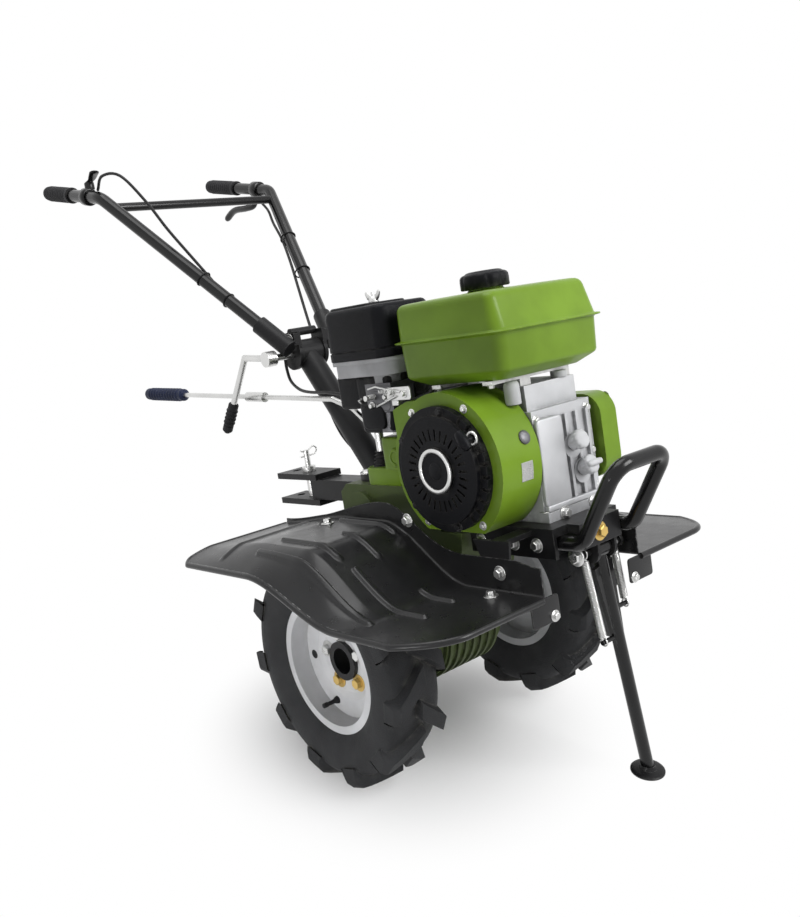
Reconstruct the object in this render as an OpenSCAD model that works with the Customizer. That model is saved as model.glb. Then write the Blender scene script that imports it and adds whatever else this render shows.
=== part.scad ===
// Two-wheel walking tractor with a petrol engine, parked nose up on its front stand.
// Millimetres. +X is forward, +Y is the machine's left, +Z is up, the floor is z = 0.
// The body is drawn level, with the axle at z = body_axle, and then turned nose up about the axle.

/* [Wheels] */
// Radius of a tyre over its lugs
tyre_r = 205; // [202:1:208]
// Width of a tyre
tyre_w = 110; // [104:1:114]
// Distance between the middles of the two tyres
track = 446; // [442:2:456]
// Radius of the rim flange
rim_r = 119; // [116:1:122]
// Diameter of an axle shaft
shaft_d = 30; // [26:1:34]
// Diameter of the hub tube
hub_d = 68; // [64:1:76]

/* [Fenders] */
// Thickness of the fender sheet
fender_t = 2; // [1.5:0.5:3]
// Gap between the tyre and the fender's crown
fender_gap = 13; // [12:1:20]

/* [Engine] */
// Radius of the recoil starter cover
starter_r = 100; // [94:1:104]
// Length of the fuel tank at its seam
tank_l = 244; // [236:2:250]
// Height of the fuel tank
tank_h = 130; // [125:1:140]
// Diameter of the fuel cap
cap_d = 75; // [60:1:85]
// Height of the air filter cover
filter_h = 92; // [80:1:100]

/* [Handlebar] */
// Diameter of the handlebar tube
bar_d = 26; // [22:1:30]
// Half the distance between the two grips
bar_half = 208; // [196:2:220]
// Diameter of a grip
grip_d = 34; // [32:1:38]
// Length of a grip
grip_l = 125; // [100:5:150]

/* [Stand and hitch] */
// Diameter of the stand's leg
leg_d = 22; // [18:1:24]
// Diameter of the stand's foot plate
foot_d = 60; // [50:2:70]
// Diameter of the stand's pivot bolt
stand_bolt_d = 12; // [10:1:14]
// Diameter of the hitch pin
hitch_pin_d = 18; // [14:1:20]

/* [Hidden] */
$fn = 48;

// Fits: a running gap is on the radius
running_gap = 0.05;
pin_gap = 0.1;

// Stance
nose_up = 13.1;
body_axle = 205;
axle_z = tyre_r;
wheel_back = 60;
axle_x = -wheel_back * cos(nose_up);
axle_body_z = body_axle + wheel_back * sin(nose_up);
hoop_top = [408, 519];
rail_r = 12;
hoop_reach = hoop_top[0] * cos(nose_up) - (hoop_top[1] - body_axle) * sin(nose_up) + rail_r;
foot_x = 307;
front_reach = max(hoop_reach, foot_x + foot_d / 2);
bend_x = -669;
bend_z = 1110;
bar_straight = 262;
grip_cap = 5;
back_reach = bar_straight + grip_cap - bend_x * cos(nose_up) + (bend_z - body_axle) * sin(nose_up);
shift_x = (back_reach - front_reach) / 2;
axle_p = [shift_x - wheel_back, 0, axle_z];

// Wheels
tyre_mid = track / 2;
rim_half = 37.5;
bead_r = rim_r - 13;
carcass_r = tyre_r - 17;
lug_count = 11;
lug_slant = 17;
lug_marks = [0, 1.6, 9.4, 11];
lug_first = lug_slant * 26 / tyre_w;
hub_out = tyre_mid + 5;
hub_in = tyre_mid - 45;
hub_bore_d = hub_d - 22;

// Gearbox
case_half = 65;
case_wall = 9;
boss_y = case_half + 9;
housing_d = 82;
housing_end = tyre_mid - 58;
shift_boss = [-96, -40];
shift_top = 512;
case_top = 486;

// Engine
crank_x = 145;
crank_z = 531;
engine_y = 50;
base_z = 425;
cyl_tilt = 25;
rib_x = 260;
plug_at = [[63, 532], [79, 488]];
shroud_r = 120;
shroud_y0 = -20;
shroud_y1 = -108;
starter_h = 20;
guard_r = 36;
guard_front = 268;
guard_far = -180;
guard_hi = 604;
guard_y0 = 131;
guard_w = 40;

// Fuel tank
tank_x0 = 47;
tank_y0 = -104;
tank_y1 = 150;
tank_z0 = 658;
seam_z = 733;
tank_wall = 3;

// Air filter
filter_x0 = -132;
filter_x1 = 36;
filter_y0 = -104;
filter_y1 = 20;
filter_z = 713;
carb_top = 670;

// Engine base and bumper
plate_z = 411;
rail_y = [-27, 97];
base_left = 109;

// Fenders
fender_in = 114;
fender_out = tyre_mid + 129;
crown_end = tyre_mid + tyre_w / 2 + 7;
fender_back = -329;
fender_front = 320;
crown_hi = axle_body_z + tyre_r + fender_gap;
crown_lo = crown_hi - 94;
guard_lo = crown_hi + 26;
crown_back = crown_hi - 20;
edge_hi = crown_hi - 34;
edge_lo = crown_hi - 97;
lip = 10;

// Handlebar
pivot = [-334, 0, 734];
yoke_gap = 26;
yoke_t = 8;
pivot_bolt_d = 14;
arm_low = [-316, 55, 752];
arm_bend = [bend_x, bar_half, bend_z];
level = [-cos(nose_up), 0, sin(nose_up)];
grip_end = arm_bend + bar_straight * level;
grip_start = arm_bend + (bar_straight - grip_l) * level;
tube_wall = 1.8;

// Stand
stand_hinge = [289, 55, 368];
barrel_half = 17;
cheek_gap = 18;
cheek_t = 6;
foot_h = 6;
foot_y = 153;

// Hitch
hitch_x = -440;
hitch_post_x = -395;
hitch_end = -468;
hitch_z = 470;

// Point p moved from the level body to where it stands
function world(p) = [
    shift_x + p[0] * cos(nose_up) - (p[2] - body_axle) * sin(nose_up),
    p[1],
    axle_z + p[0] * sin(nose_up) + (p[2] - body_axle) * cos(nose_up)
];
// Point p on the other side of the machine
function flip(p) = [p[0], -p[1], p[2]];
function unit(v) = v / norm(v);
// Rises smoothly from 0 to 1 while x goes from a to b
function ease(x, a, b) = let (t = min(1, max(0, (x - a) / (b - a)))) t * t * (3 - 2 * t);

stand_p = world(stand_hinge);
foot_p = [shift_x + foot_x, foot_y, foot_h];
function on_leg(d) = stand_p + d * unit(foot_p - stand_p);

// Routes of the two control cables
cable_d = 6;
throttle_high = [
    [-700, -196, 1132], [-650, -205, 1150], [-600, -190, 1140], [-560, -165, 1080],
    [-530, -146, 1020], [-500, -122, 960], [-470, -105.4, 911], [-430, -84, 845],
    [-390, -62, 795], [-362, -46, 760], [-350, -42, 738]
];
throttle_low = [
    [-349, -42, 732], [-346, -44, 710], [-330, -50, 685], [-290, -60, 668],
    [-240, -70, 662], [-180, -76, 660], [-120, -74, 652], [-75, -68, 646], [-53, -66, 645]
];
clutch_high = [
    [-700, 200, 1090], [-660, 190, 1062], [-610, 164, 1026], [-560, 145.1, 983.2],
    [-510, 122, 930], [-460, 96, 870], [-420, 76, 815], [-385, 58, 775], [-360, 46, 750],
    [-350, 42, 738]
];
clutch_low = [
    [-349, 42, 732], [-350, 42, 705], [-352, 42, 660], [-345, 42, 610], [-320, 42, 560],
    [-280, 42, 525], [-240, 42, 510], [-212, 42, 506]
];

lime = [0.5, 0.73, 0.13];
olive = [0.33, 0.4, 0.16];
black = [0.08, 0.08, 0.09];
steel = [0.7, 0.71, 0.73];
grey = [0.5, 0.51, 0.52];

// Puts the level body into its parked stance
module body() {
    translate([shift_x, 0, axle_z]) rotate([0, -nose_up, 0]) translate([0, 0, -body_axle]) children();
}

// Round bar from point a to point b
module rod(a, b, r) {
    d = b - a;
    translate(a) rotate([0, acos(d[2] / norm(d)), atan2(d[1], d[0])]) cylinder(r = r, h = norm(d));
}

// Round bar through a list of points, with a ball a little larger than the bar at each corner
module run(points, r) {
    for (i = [0 : len(points) - 2]) rod(points[i], points[i + 1], r);
    for (i = [1 : len(points) - 2]) translate(points[i]) sphere(r = r + 0.2);
}

// Disc of radius r from y0 to y1 on an axis along Y through x and z
module disc(x, z, r, y0, y1) {
    translate([x, y1, z]) rotate([90, 0, 0]) cylinder(r = r, h = y1 - y0);
}

// Block between two corners
module block(a, b) {
    translate(a) cube(b - a);
}

// Flat outline in X and Z, made solid from y0 to y1
module slab(points, y0, y1) {
    translate([0, y1, 0]) rotate([90, 0, 0]) linear_extrude(y1 - y0) polygon(points);
}

// Upright block with round corners of radius r
module round_block(a, b, r) {
    translate([0, 0, a[2]]) linear_extrude(b[2] - a[2]) round_rect(a, b, r);
}

module round_rect(a, b, r) {
    translate([a[0] + r, a[1]]) square([b[0] - a[0] - 2 * r, b[1] - a[1]]);
    translate([a[0], a[1] + r]) square([b[0] - a[0], b[1] - a[1] - 2 * r]);
    for (x = [a[0] + r, b[0] - r], y = [a[1] + r, b[1] - r]) translate([x, y]) circle(r);
}

// Corner of a path at b, turned into an arc of radius r in n steps
function corner(a, b, c, r, n) =
    let (
        p = unit(b - a),
        q = unit(c - b),
        turn = acos(p * q),
        start = b - r * tan(turn / 2) * p,
        inward = unit(q - (p * q) * p)
    )
    [for (k = [0 : n]) start + r * (sin(turn * k / n) * p + (1 - cos(turn * k / n)) * inward)];

// Path with all its inner corners rounded to radius r
function rounded(path, r, n = 6) = [
    path[0],
    for (i = [1 : len(path) - 2]) each corner(path[i - 1], path[i], path[i + 1], r, n),
    path[len(path) - 1]
];

// Bar of radius r along a path, with a hole of radius bore along it unless that is 0.
// away is a direction that the path never takes.
module pipe(path, r, bore = 0, away = [0.2, 1, 0.1], sides = 16) {
    n = len(path);
    inner = n * sides;
    function heading(i) = unit(path[min(n - 1, i + 1)] - path[max(0, i - 1)]);
    function side(i) = unit(cross(heading(i), away));
    function spot(i, k, q) = path[i] + q * (cos(360 * k / sides) * side(i)
        + sin(360 * k / sides) * cross(heading(i), side(i)));
    function rings(q) = [for (i = [0 : n - 1], k = [0 : sides - 1]) spot(i, k, q)];
    function next(k) = (k + 1) % sides;
    last = (n - 1) * sides;
    cells = [for (i = [0 : n - 2], k = [0 : sides - 1])
        [i * sides + k, (i + 1) * sides + k, (i + 1) * sides + next(k), i * sides + next(k)]];
    ends = bore > 0
        ? [for (k = [0 : sides - 1]) each [
            [k, next(k), inner + next(k), inner + k],
            [last + next(k), last + k, inner + last + k, inner + last + next(k)]]]
        : [[for (k = [0 : sides - 1]) k], [for (k = [sides - 1 : -1 : 0]) last + k]];
    inside = bore > 0 ? [for (c = cells) [for (k = [3 : -1 : 0]) inner + c[k]]] : [];
    polyhedron(
        concat(rings(r), bore > 0 ? rings(bore) : []),
        concat(cells, inside, ends),
        convexity = 8
    );
}

// Outline of the gearbox from the axle up to the shift tower, drawn in by t all round
module gearbox_form(t) {
    half = case_half - t;
    low = axle_body_z;
    slab([[axle_x - 86 + t, low], [-125 + t, 320], [-205 + t, 400 + t], [-205 + t, 470 - t],
        [-185 + t, case_top - t], [20 - t, case_top - t], [40 - t, 470 - t], [60 - t, plate_z - t],
        [110 - t, plate_z - t], [92 - t, 330], [axle_x + 86 - t, low]], -half, half);
    disc(axle_x, axle_body_z, 88 - t, -half, half);
}

module gearbox_case() {
    color(olive) body() {
        difference() {
            gearbox_form(0);
            gearbox_form(case_wall);
        }
        translate([shift_boss[0], shift_boss[1], 480]) cylinder(r = 20, h = shift_top - 480);
        for (y = [-57 : 19 : 57]) disc(axle_x, axle_body_z, 93, y - 3, y + 3);
        for (s = [0, 1]) mirror([0, s, 0]) {
            disc(-60, 352, 44, case_half - 5, case_half + 11);
            disc(-140, 440, 34, case_half - 5, boss_y);
        }
    }
}

module axle_housings() {
    color(olive) difference() {
        for (s = [-1, 1]) axle_tube(s);
        translate(axle_p) rotate([90, 0, 0])
            cylinder(d = shaft_d + 2 * running_gap, h = 3 * track, center = true);
    }
}

module axle_tube(s) {
    on_axle(s) {
        translate([0, 0, case_half]) cylinder(d = housing_d, h = housing_end - case_half);
        translate([0, 0, case_half]) cylinder(r = 80, h = 16);
        translate([0, 0, housing_end - 14]) cylinder(d = housing_d + 10, h = 14);
    }
}

module engine_base() {
    color(black) body() {
        block([61, -48, plate_z], [292, base_left, base_z]);
        block([112, -48, plate_z - 34], [292, -41, plate_z + 1]);
        block([280, -14, plate_z], [316, 84, base_z]);
        block([stand_hinge[0] + 20.3, -14, plate_z - 27], [316, 84, base_z]);
    }
}

module bumper_hoop() {
    side_path = [[200, 399], [330, 399], hoop_top];
    route = concat(
        [for (p = side_path) [p[0], rail_y[0], p[1]]],
        [for (i = [2 : -1 : 0]) [side_path[i][0], rail_y[1], side_path[i][1]]]
    );
    color(black) body() pipe(rounded(route, 30), rail_r, away = [-0.85, 0.1, 0.5]);
}

module crankcase() {
    color(steel) body() {
        block([61, -18, base_z], [262, fender_in - 1, 441]);
        block([62, -18, 440], [254, 122, 600]);
        disc(crank_x, crank_z, 64, 100, guard_y0 - 0.3);
        for (y = [0 : 26 : 104]) block([250, y, 441], [rib_x, y + 6, 585]);
        for (p = plug_at) translate([250, p[0], p[1]]) rotate([0, 90, 0]) cylinder(r = 20, h = rib_x - 250);
        block([80, -10, 598], [240, 110, 640]);
    }
}

module cylinder_block() {
    for (d = [92 : 13 : 170]) translate([0, 0, d]) block([-58, -58, 0], [58, 58, 5]);
    translate([0, 0, 60]) cylinder(r = 46, h = 118);
    translate([0, 0, 176]) block([-56, -56, 0], [56, 56, 26]);
    translate([0, 0, 200]) block([-44, -46, 0], [44, 46, 26]);
}

// Puts what is drawn upright on the cylinder's leaning axis
module on_cylinder() {
    translate([crank_x, engine_y, crank_z]) rotate([0, cyl_tilt - 90, 0]) children();
}

module cylinder_() {
    color(steel) body() difference() {
        on_cylinder() cylinder_block();
        block([61.7, -60, 400], [300, 160, 700]);
    }
}

module fan_shroud() {
    wall = 4;
    color(lime) body() difference() {
        union() {
            disc(crank_x, crank_z, shroud_r, shroud_y1, shroud_y0);
            slab([[40, 470], [22, 560], [22, 625], [60, 638], [crank_x, 638], [crank_x, 470]],
                shroud_y1 + 12, shroud_y0);
        }
        block([-50, -200, 380], [300, 0, base_z + 4]);
        difference() {
            disc(crank_x, crank_z, 98, shroud_y1 + wall, shroud_y0 - wall);
            disc(crank_x, crank_z, 86, -75, shroud_y0);
        }
    }
}

module recoil_starter() {
    face = shroud_y1 - starter_h;
    color(black) body() difference() {
        union() {
            disc(crank_x, crank_z, starter_r, face + 8, shroud_y1);
            disc(crank_x, crank_z, starter_r - 14, face, shroud_y1);
            disc(crank_x, crank_z, 37, face - 4, shroud_y1);
        }
        translate([crank_x, 0, crank_z]) {
            for (a = [0 : 12 : 348]) rotate([0, a, 0]) block([48, face - 1, -1.8], [66, face + 6, 1.8]);
            for (a = [-54 : 12 : 54]) rotate([0, a, 0])
                block([starter_r - 11, face, -3], [starter_r + 5, face + 15, 3]);
        }
    }
}

module oil_plugs() {
    color(black) body() difference() {
        for (p = plug_at) translate([248, p[0], p[1]]) rotate([0, 70, 0]) {
            cylinder(r = 12, h = 30);
            translate([0, 0, 24]) cylinder(r = 15, h = 12);
        }
        block([200, -60, 400], [rib_x, 160, 600]);
    }
}

module tank_layer(inset, z, h, r) {
    round_block([tank_x0 + inset, tank_y0 + inset, z],
        [tank_x0 + tank_l - inset, tank_y1 - inset, z + h], r);
}

// Tank pressings drawn in by t all round: the lower one has a slanted floor edge, the upper one a crown
module tank_form(t) {
    tank_top = tank_z0 + tank_h;
    hull() {
        tank_layer(31 + t, tank_z0 + t, 2, 22 - t, $fn = 32);
        tank_layer(9 + t, tank_z0 + 28, 2, 32 - t, $fn = 32);
        tank_layer(6 + t, seam_z - 2, 3, 34 - t, $fn = 32);
    }
    hull() {
        tank_layer(5 + t, seam_z, 3, 34 - t, $fn = 32);
        tank_layer(9 + t, tank_top - 26, 3, 34 - t, $fn = 32);
        tank_layer(15 + t, tank_top - 12 - t, 2, 32 - t, $fn = 32);
        tank_layer(28 + t, tank_top - 5 - t, 2, 30 - t, $fn = 32);
        tank_layer(62 + t, tank_top - 2 - t, 2, 24 - t, $fn = 32);
    }
}

module fuel_tank() {
    color(lime) body() {
        difference() {
            union() {
                tank_form(0);
                tank_layer(0, seam_z - 2, 5, 38);
            }
            tank_form(tank_wall);
        }
        translate([160, 20, tank_z0 + tank_h - 2]) cylinder(r = 28, h = 12);
    }
}

module fuel_cap() {
    color(black) body() translate([160, 20, tank_z0 + tank_h + 10]) {
        cylinder(d = cap_d, h = 22);
        translate([0, 0, 20]) cylinder(d = cap_d - 16, h = 8);
    }
}

module tank_brackets() {
    color(grey) body() for (x = [110, 224]) {
        block([x - 10, -72, tank_z0 - 6], [x + 10, 108, tank_z0]);
        for (y = [2, 96]) block([x - 10, y - 12, 640], [x + 10, y + 12, tank_z0 - 5]);
    }
}

module air_filter_base() {
    color(grey) body() {
        round_block([filter_x0 + 6, filter_y0 + 6, filter_z - 29], [filter_x1 - 6, filter_y1 - 6, filter_z - 6], 24);
        round_block([filter_x0 + 1, filter_y0 + 1, filter_z - 7], [filter_x1 - 1, filter_y1 - 1, filter_z], 27);
        translate([-18, -62, carb_top]) cylinder(r = 24, h = filter_z - 27 - carb_top);
    }
}

module air_filter_cover() {
    wall = 4;
    top = filter_z + filter_h;
    color(black) body() difference() {
        union() {
            round_block([filter_x0, filter_y0, filter_z], [filter_x1, filter_y1, top - 10], 28);
            round_block([filter_x0 + 8, filter_y0 + 8, top - 12],
                [filter_x1 - 8, filter_y1 - 8, top], 24);
        }
        round_block([filter_x0 + wall, filter_y0 + wall, filter_z - 1],
            [filter_x1 - wall, filter_y1 - wall, top - 16], 24);
    }
}

module filter_wing_nut() {
    color(steel) body() translate([-48, -42, filter_z + filter_h]) {
        cylinder(r = 9, h = 10);
        block([-20, -2.5, 4], [20, 2.5, 20]);
    }
}

module carburettor() {
    color([0.2, 0.2, 0.21]) body() {
        block([-52, -88, 622], [16, -38, carb_top]);
        translate([-18, -62, 586]) cylinder(r = 24, h = 40);
        disc(-20, 622, 17, -40, -8.3);
    }
}

module muffler() {
    color(grey) body() {
        difference() {
            round_block([-128, 34, 684], [30, 140, 776], 20);
            round_block([-124, 38, 688], [26, 136, 772], 16);
        }
        difference() {
            rod([-10, 70, 687], [4, 70, 650], 16);
            on_cylinder() block([-58.3, -58.3, 60], [58.3, 58.3, 175.4]);
            on_cylinder() block([-56.3, -56.3, 170], [56.3, 56.3, 202.3]);
        }
        rod([-126, 120, 720], [-156, 130, 712], 11);
    }
}

// Belt cover drawn in by t: a long box with round corners, rounder at the back than in front
module guard_form(t) {
    y0 = guard_y0 + t;
    y1 = guard_y0 + guard_w - t;
    back_r = (guard_hi - guard_lo) / 2;
    back_x = guard_far + back_r;
    front_x = guard_front - guard_r;
    slab([[back_x, guard_lo + t], [front_x, guard_lo + t], [front_x, guard_hi - t], [back_x, guard_hi - t]],
        y0, y1);
    slab([[front_x - 1, guard_lo + guard_r], [guard_front - t, guard_lo + guard_r],
        [guard_front - t, guard_hi - guard_r], [front_x - 1, guard_hi - guard_r]], y0, y1);
    disc(back_x, guard_lo + back_r, back_r - t, y0, y1);
    for (z = [guard_lo + guard_r, guard_hi - guard_r]) disc(front_x, z, guard_r - t, y0, y1);
}

module drive_guard() {
    color(lime) body() difference() {
        guard_form(0);
        guard_form(4);
    }
}

// Sheet over one wheel: its crown clears the tyre, its outer margin droops and a flange stands
// up along its inner edge
module fender() {
    rows = 30;
    front_drop = 84;
    ys = [fender_in, fender_in, crown_end, crown_end + 14, crown_end + 30, crown_end + 46, fender_out - 2,
        fender_out];
    cols = len(ys);
    function crown(x) = crown_hi - (crown_hi - crown_lo) * ease(x, -20, 165)
        - (crown_hi - crown_back) * ease(-x, 130, -fender_back);
    function edge(x) = edge_hi - (edge_hi - edge_lo) * ease(x, -110, 115);
    function droop(y) = pow(max(0, (y - crown_end) / (fender_out - 2 - crown_end)), 1.4);
    function nose(y) = fender_front - front_drop * pow(max(0, (y - fender_out + 84) / 84), 2.2);
    function height(x, y) = crown(x) + (edge(x) - crown(x)) * min(1, droop(y));
    function px(i, j) = fender_back + (nose(min(ys[j], fender_out - 2)) - fender_back) * i / rows;
    function flange(x) = 8 + 26 * ease(x, -200, -20) + 18 * ease(x, 60, 165) - 8 * ease(x, 260, fender_front);
    function step_up(i, j) = j == 0 ? flange(px(i, j)) : j == cols - 1 ? -lip : 0;
    function upper(i, j) = [px(i, j), ys[j] + (j < 2 ? fender_t : 0), height(px(i, j), ys[j]) + step_up(i, j)];
    function lower(i, j) = upper(i, j) - [
        0,
        j < 2 || j > cols - 3 ? fender_t : 0,
        j == 0 || j == cols - 1 ? 0 : fender_t
    ];
    top = [for (i = [0 : rows], j = [0 : cols - 1]) upper(i, j)];
    under = [for (i = [0 : rows], j = [0 : cols - 1]) lower(i, j)];
    n = len(top);
    function at(i, j) = i * cols + j;
    cells = [for (i = [0 : rows - 1], j = [0 : cols - 2]) [at(i, j), at(i, j + 1), at(i + 1, j + 1), at(i + 1, j)]];
    upper_faces = [for (c = cells) each [[c[0], c[1], c[2]], [c[0], c[2], c[3]]]];
    lower_faces = [for (c = cells) each [[n + c[2], n + c[1], n + c[0]], [n + c[3], n + c[2], n + c[0]]]];
    rim = concat(
        [for (j = [0 : cols - 2]) [at(0, j + 1), at(0, j)]],
        [for (j = [0 : cols - 2]) [at(rows, j), at(rows, j + 1)]],
        [for (i = [0 : rows - 1]) [at(i, 0), at(i + 1, 0)]],
        [for (i = [0 : rows - 1]) [at(i + 1, cols - 1), at(i, cols - 1)]]
    );
    rim_faces = [for (e = rim) each [[e[0], e[1], n + e[1]], [e[0], n + e[1], n + e[0]]]];
    polyhedron(concat(top, under), concat(upper_faces, lower_faces, rim_faces), convexity = 8);
}

module left_fender() {
    color(black) body() fender();
}

module right_fender() {
    color(black) body() mirror([0, 1, 0]) fender();
}

module fender_brackets() {
    strap_out = fender_in + 42;
    strap_y = fender_in - 0.5;
    back_z = crown_hi - fender_t - 0.8;
    front_z = crown_lo - fender_t - 0.1;
    color(black) body() {
        for (s = [0, 1]) mirror([0, s, 0]) {
            block([-152, boss_y, back_z - 10], [-116, strap_out, back_z]);
            block([222, base_left, front_z - 5], [250, strap_out, front_z]);
            slab([[186, plate_z + 10], [222, front_z - 5], [250, front_z - 5], [262, plate_z + 10]],
                base_left, strap_y);
        }
        block([222, -strap_y, plate_z + 2], [250, -48, plate_z + 10]);
    }
}

module hitch_bracket() {
    color(black) body() difference() {
        union() {
            difference() {
                block([-360, -26, hitch_z - 30], [-205, 26, hitch_z + 10]);
                block([-354, -20, hitch_z - 24], [-211, 20, hitch_z + 4]);
            }
            block([hitch_end, -32, hitch_z + 10], [-330, 32, hitch_z + 22]);
            block([hitch_end, -32, hitch_z - 42], [-330, 32, hitch_z - 30]);
        }
        for (x = [hitch_x, hitch_post_x]) translate([x, 0, hitch_z - 100])
            cylinder(d = hitch_pin_d + 2 * pin_gap, h = 200);
    }
}

module hitch_pin() {
    color(steel) body() translate([hitch_post_x, 0, hitch_z + 22]) {
        cylinder(r = hitch_pin_d / 2 + 5, h = 10);
        translate([0, 0, -72]) cylinder(d = hitch_pin_d, h = 74);
        translate([0, 0, 8]) cylinder(r = 6, h = 36);
    }
}

module handlebar_column() {
    color(black) body() difference() {
        union() {
            difference() {
                rod([-150, 0, 480], pivot, 24);
                rod([-150, 0, 480], pivot, 19);
            }
            translate([-150, 0, case_top]) cylinder(r = 44, h = 14);
            disc(pivot[0], pivot[2], 27, -yoke_gap + 0.3, yoke_gap - 0.3);
        }
        block([-300, -100, 400], [0, 100, case_top]);
        disc(pivot[0], pivot[2], pivot_bolt_d / 2 + running_gap, -100, 100);
    }
}

module gear_lever() {
    color(steel) body() {
        run([[shift_boss[0], shift_boss[1], 575], [-150, -47, 624], [-204, -50, 644], [-850, -76, 685]], 5);
        translate([shift_boss[0], shift_boss[1], shift_top]) cylinder(r = 8, h = 66);
        rod([-420, -58.6, 657.7], [-480, -61, 661.5], 10);
    }
}

module gear_lever_grip() {
    color([0.12, 0.16, 0.3]) body() difference() {
        rod([-730, -71.2, 677.4], [-896, -77.8, 687.9], 15);
        rod([-204, -50, 644], [-850, -76, 685], 5.1);
    }
}

module stand_bracket() {
    bolt_end = cheek_gap + cheek_t + 26;
    color(black) body() translate(stand_hinge) {
        for (s = [-1, 1]) translate([0, s * (cheek_gap + cheek_t / 2), 0]) {
            block([-20, -cheek_t / 2, 0], [20, cheek_t / 2, plate_z - stand_hinge[2]]);
            rotate([90, 0, 0]) cylinder(r = 20, h = cheek_t, center = true);
        }
        rotate([90, 0, 0]) cylinder(d = stand_bolt_d, h = 2 * bolt_end, center = true);
        for (s = [-1, 1]) translate([0, s * bolt_end, 0]) rotate([90, 0, 0])
            cylinder(r = stand_bolt_d / 2 + 4, h = 6, center = true);
        block([-26, -cheek_gap - cheek_t, plate_z - stand_hinge[2] - 6],
            [12, cheek_gap + cheek_t, plate_z - stand_hinge[2]]);
    }
}

module throttle_cable_low() {
    color(black) body() pipe(throttle_low, cable_d / 2, sides = 8);
}

module clutch_cable_low() {
    color(black) body() pipe(clutch_low, cable_d / 2, sides = 8);
}

module handlebar_arms() {
    route = rounded([arm_low, arm_bend, grip_end], 45);
    cross_end = arm_low + 0.93 * (arm_bend - arm_low);
    color(black) body() {
        for (s = [0, 1]) mirror([0, s, 0])
            pipe(route, bar_d / 2, bar_d / 2 - tube_wall, away = [0, 1, 0.2]);
        rod(flip(cross_end), cross_end, bar_d / 2 - 4);
    }
}

module handlebar_yoke() {
    yoke_y = yoke_gap + yoke_t;
    color(black) body() {
        for (s = [0, 1]) mirror([0, s, 0]) {
            difference() {
                rod(arm_low + [6, -2, -6], arm_low + 0.14 * (arm_bend - arm_low), bar_d / 2 + 5);
                rod(arm_low, arm_low + 0.2 * (arm_bend - arm_low), bar_d / 2 + 0.1);
            }
            difference() {
                union() {
                    disc(pivot[0], pivot[2], 30, yoke_gap, yoke_y);
                    block([-344, yoke_gap, 728], [-306, yoke_y, 778]);
                    block([-340, yoke_gap, 752], [-306, yoke_y + 8, 775]);
                }
                disc(pivot[0], pivot[2], pivot_bolt_d / 2 + running_gap, 0, 100);
            }
        }
        rod([-336, -30, 777], [-336, 30, 777], 8);
    }
}

module grips() {
    color([0.12, 0.16, 0.3]) body() for (s = [0, 1]) mirror([0, s, 0]) difference() {
        rod(grip_start, grip_end + grip_cap * level, grip_d / 2);
        rod(grip_start - 5 * level, grip_end, bar_d / 2);
    }
}

module throttle_lever() {
    mid = flip(arm_bend) + 60 * level;
    color(black) body() {
        difference() {
            rod(mid - 10 * level, mid + 10 * level, bar_d / 2 + 5);
            rod(mid - 20 * level, mid + 20 * level, bar_d / 2);
        }
        translate(mid + [0, 8, 16]) cylinder(r = 10, h = 14);
        pipe(rounded([mid + [0, 8, 26], mid + [30, -2, 40], mid + [62, -8, 42]], 12), 4, away = [0, 1, 0]);
    }
}

module clutch_lever() {
    mid = arm_bend + 50 * level;
    color(black) body() {
        difference() {
            rod(mid - 12 * level, mid + 12 * level, bar_d / 2 + 5);
            rod(mid - 20 * level, mid + 20 * level, bar_d / 2);
        }
        pipe(rounded([mid + [2, -4, -15], mid + [-30, -8, -50], mid + 90 * level + [0, -6, -62],
            mid + 190 * level + [0, -2, -59]], 16), 5, away = [0, 1, 0]);
    }
}

module clamp_crank() {
    color(steel) body() {
        disc(pivot[0], pivot[2], pivot_bolt_d / 2, -80, 40);
        disc(pivot[0], pivot[2], 15, -98, -77);
        disc(pivot[0], pivot[2], 12, 34.3, 44);
        run([pivot + [-6, -87, 1], pivot + [-84, -90, 8], pivot + [-154, -92, -80]], 6.5);
    }
}

module clamp_crank_grip() {
    a = pivot + [-154, -92, -80];
    step = unit([-70, -2, -88]);
    color(black) body() rod(a, a + 76 * step, 12);
}

module throttle_cable_high() {
    color(black) body() pipe(throttle_high, cable_d / 2, sides = 8);
}

module clutch_cable_high() {
    color(black) body() pipe(clutch_high, cable_d / 2, sides = 8);
}

// Turns a wheel piece drawn about Z, with its outer side up, onto the axle on side s
module on_axle(s) {
    translate(axle_p) rotate([-90 * s, 0, 0]) children();
}

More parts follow.
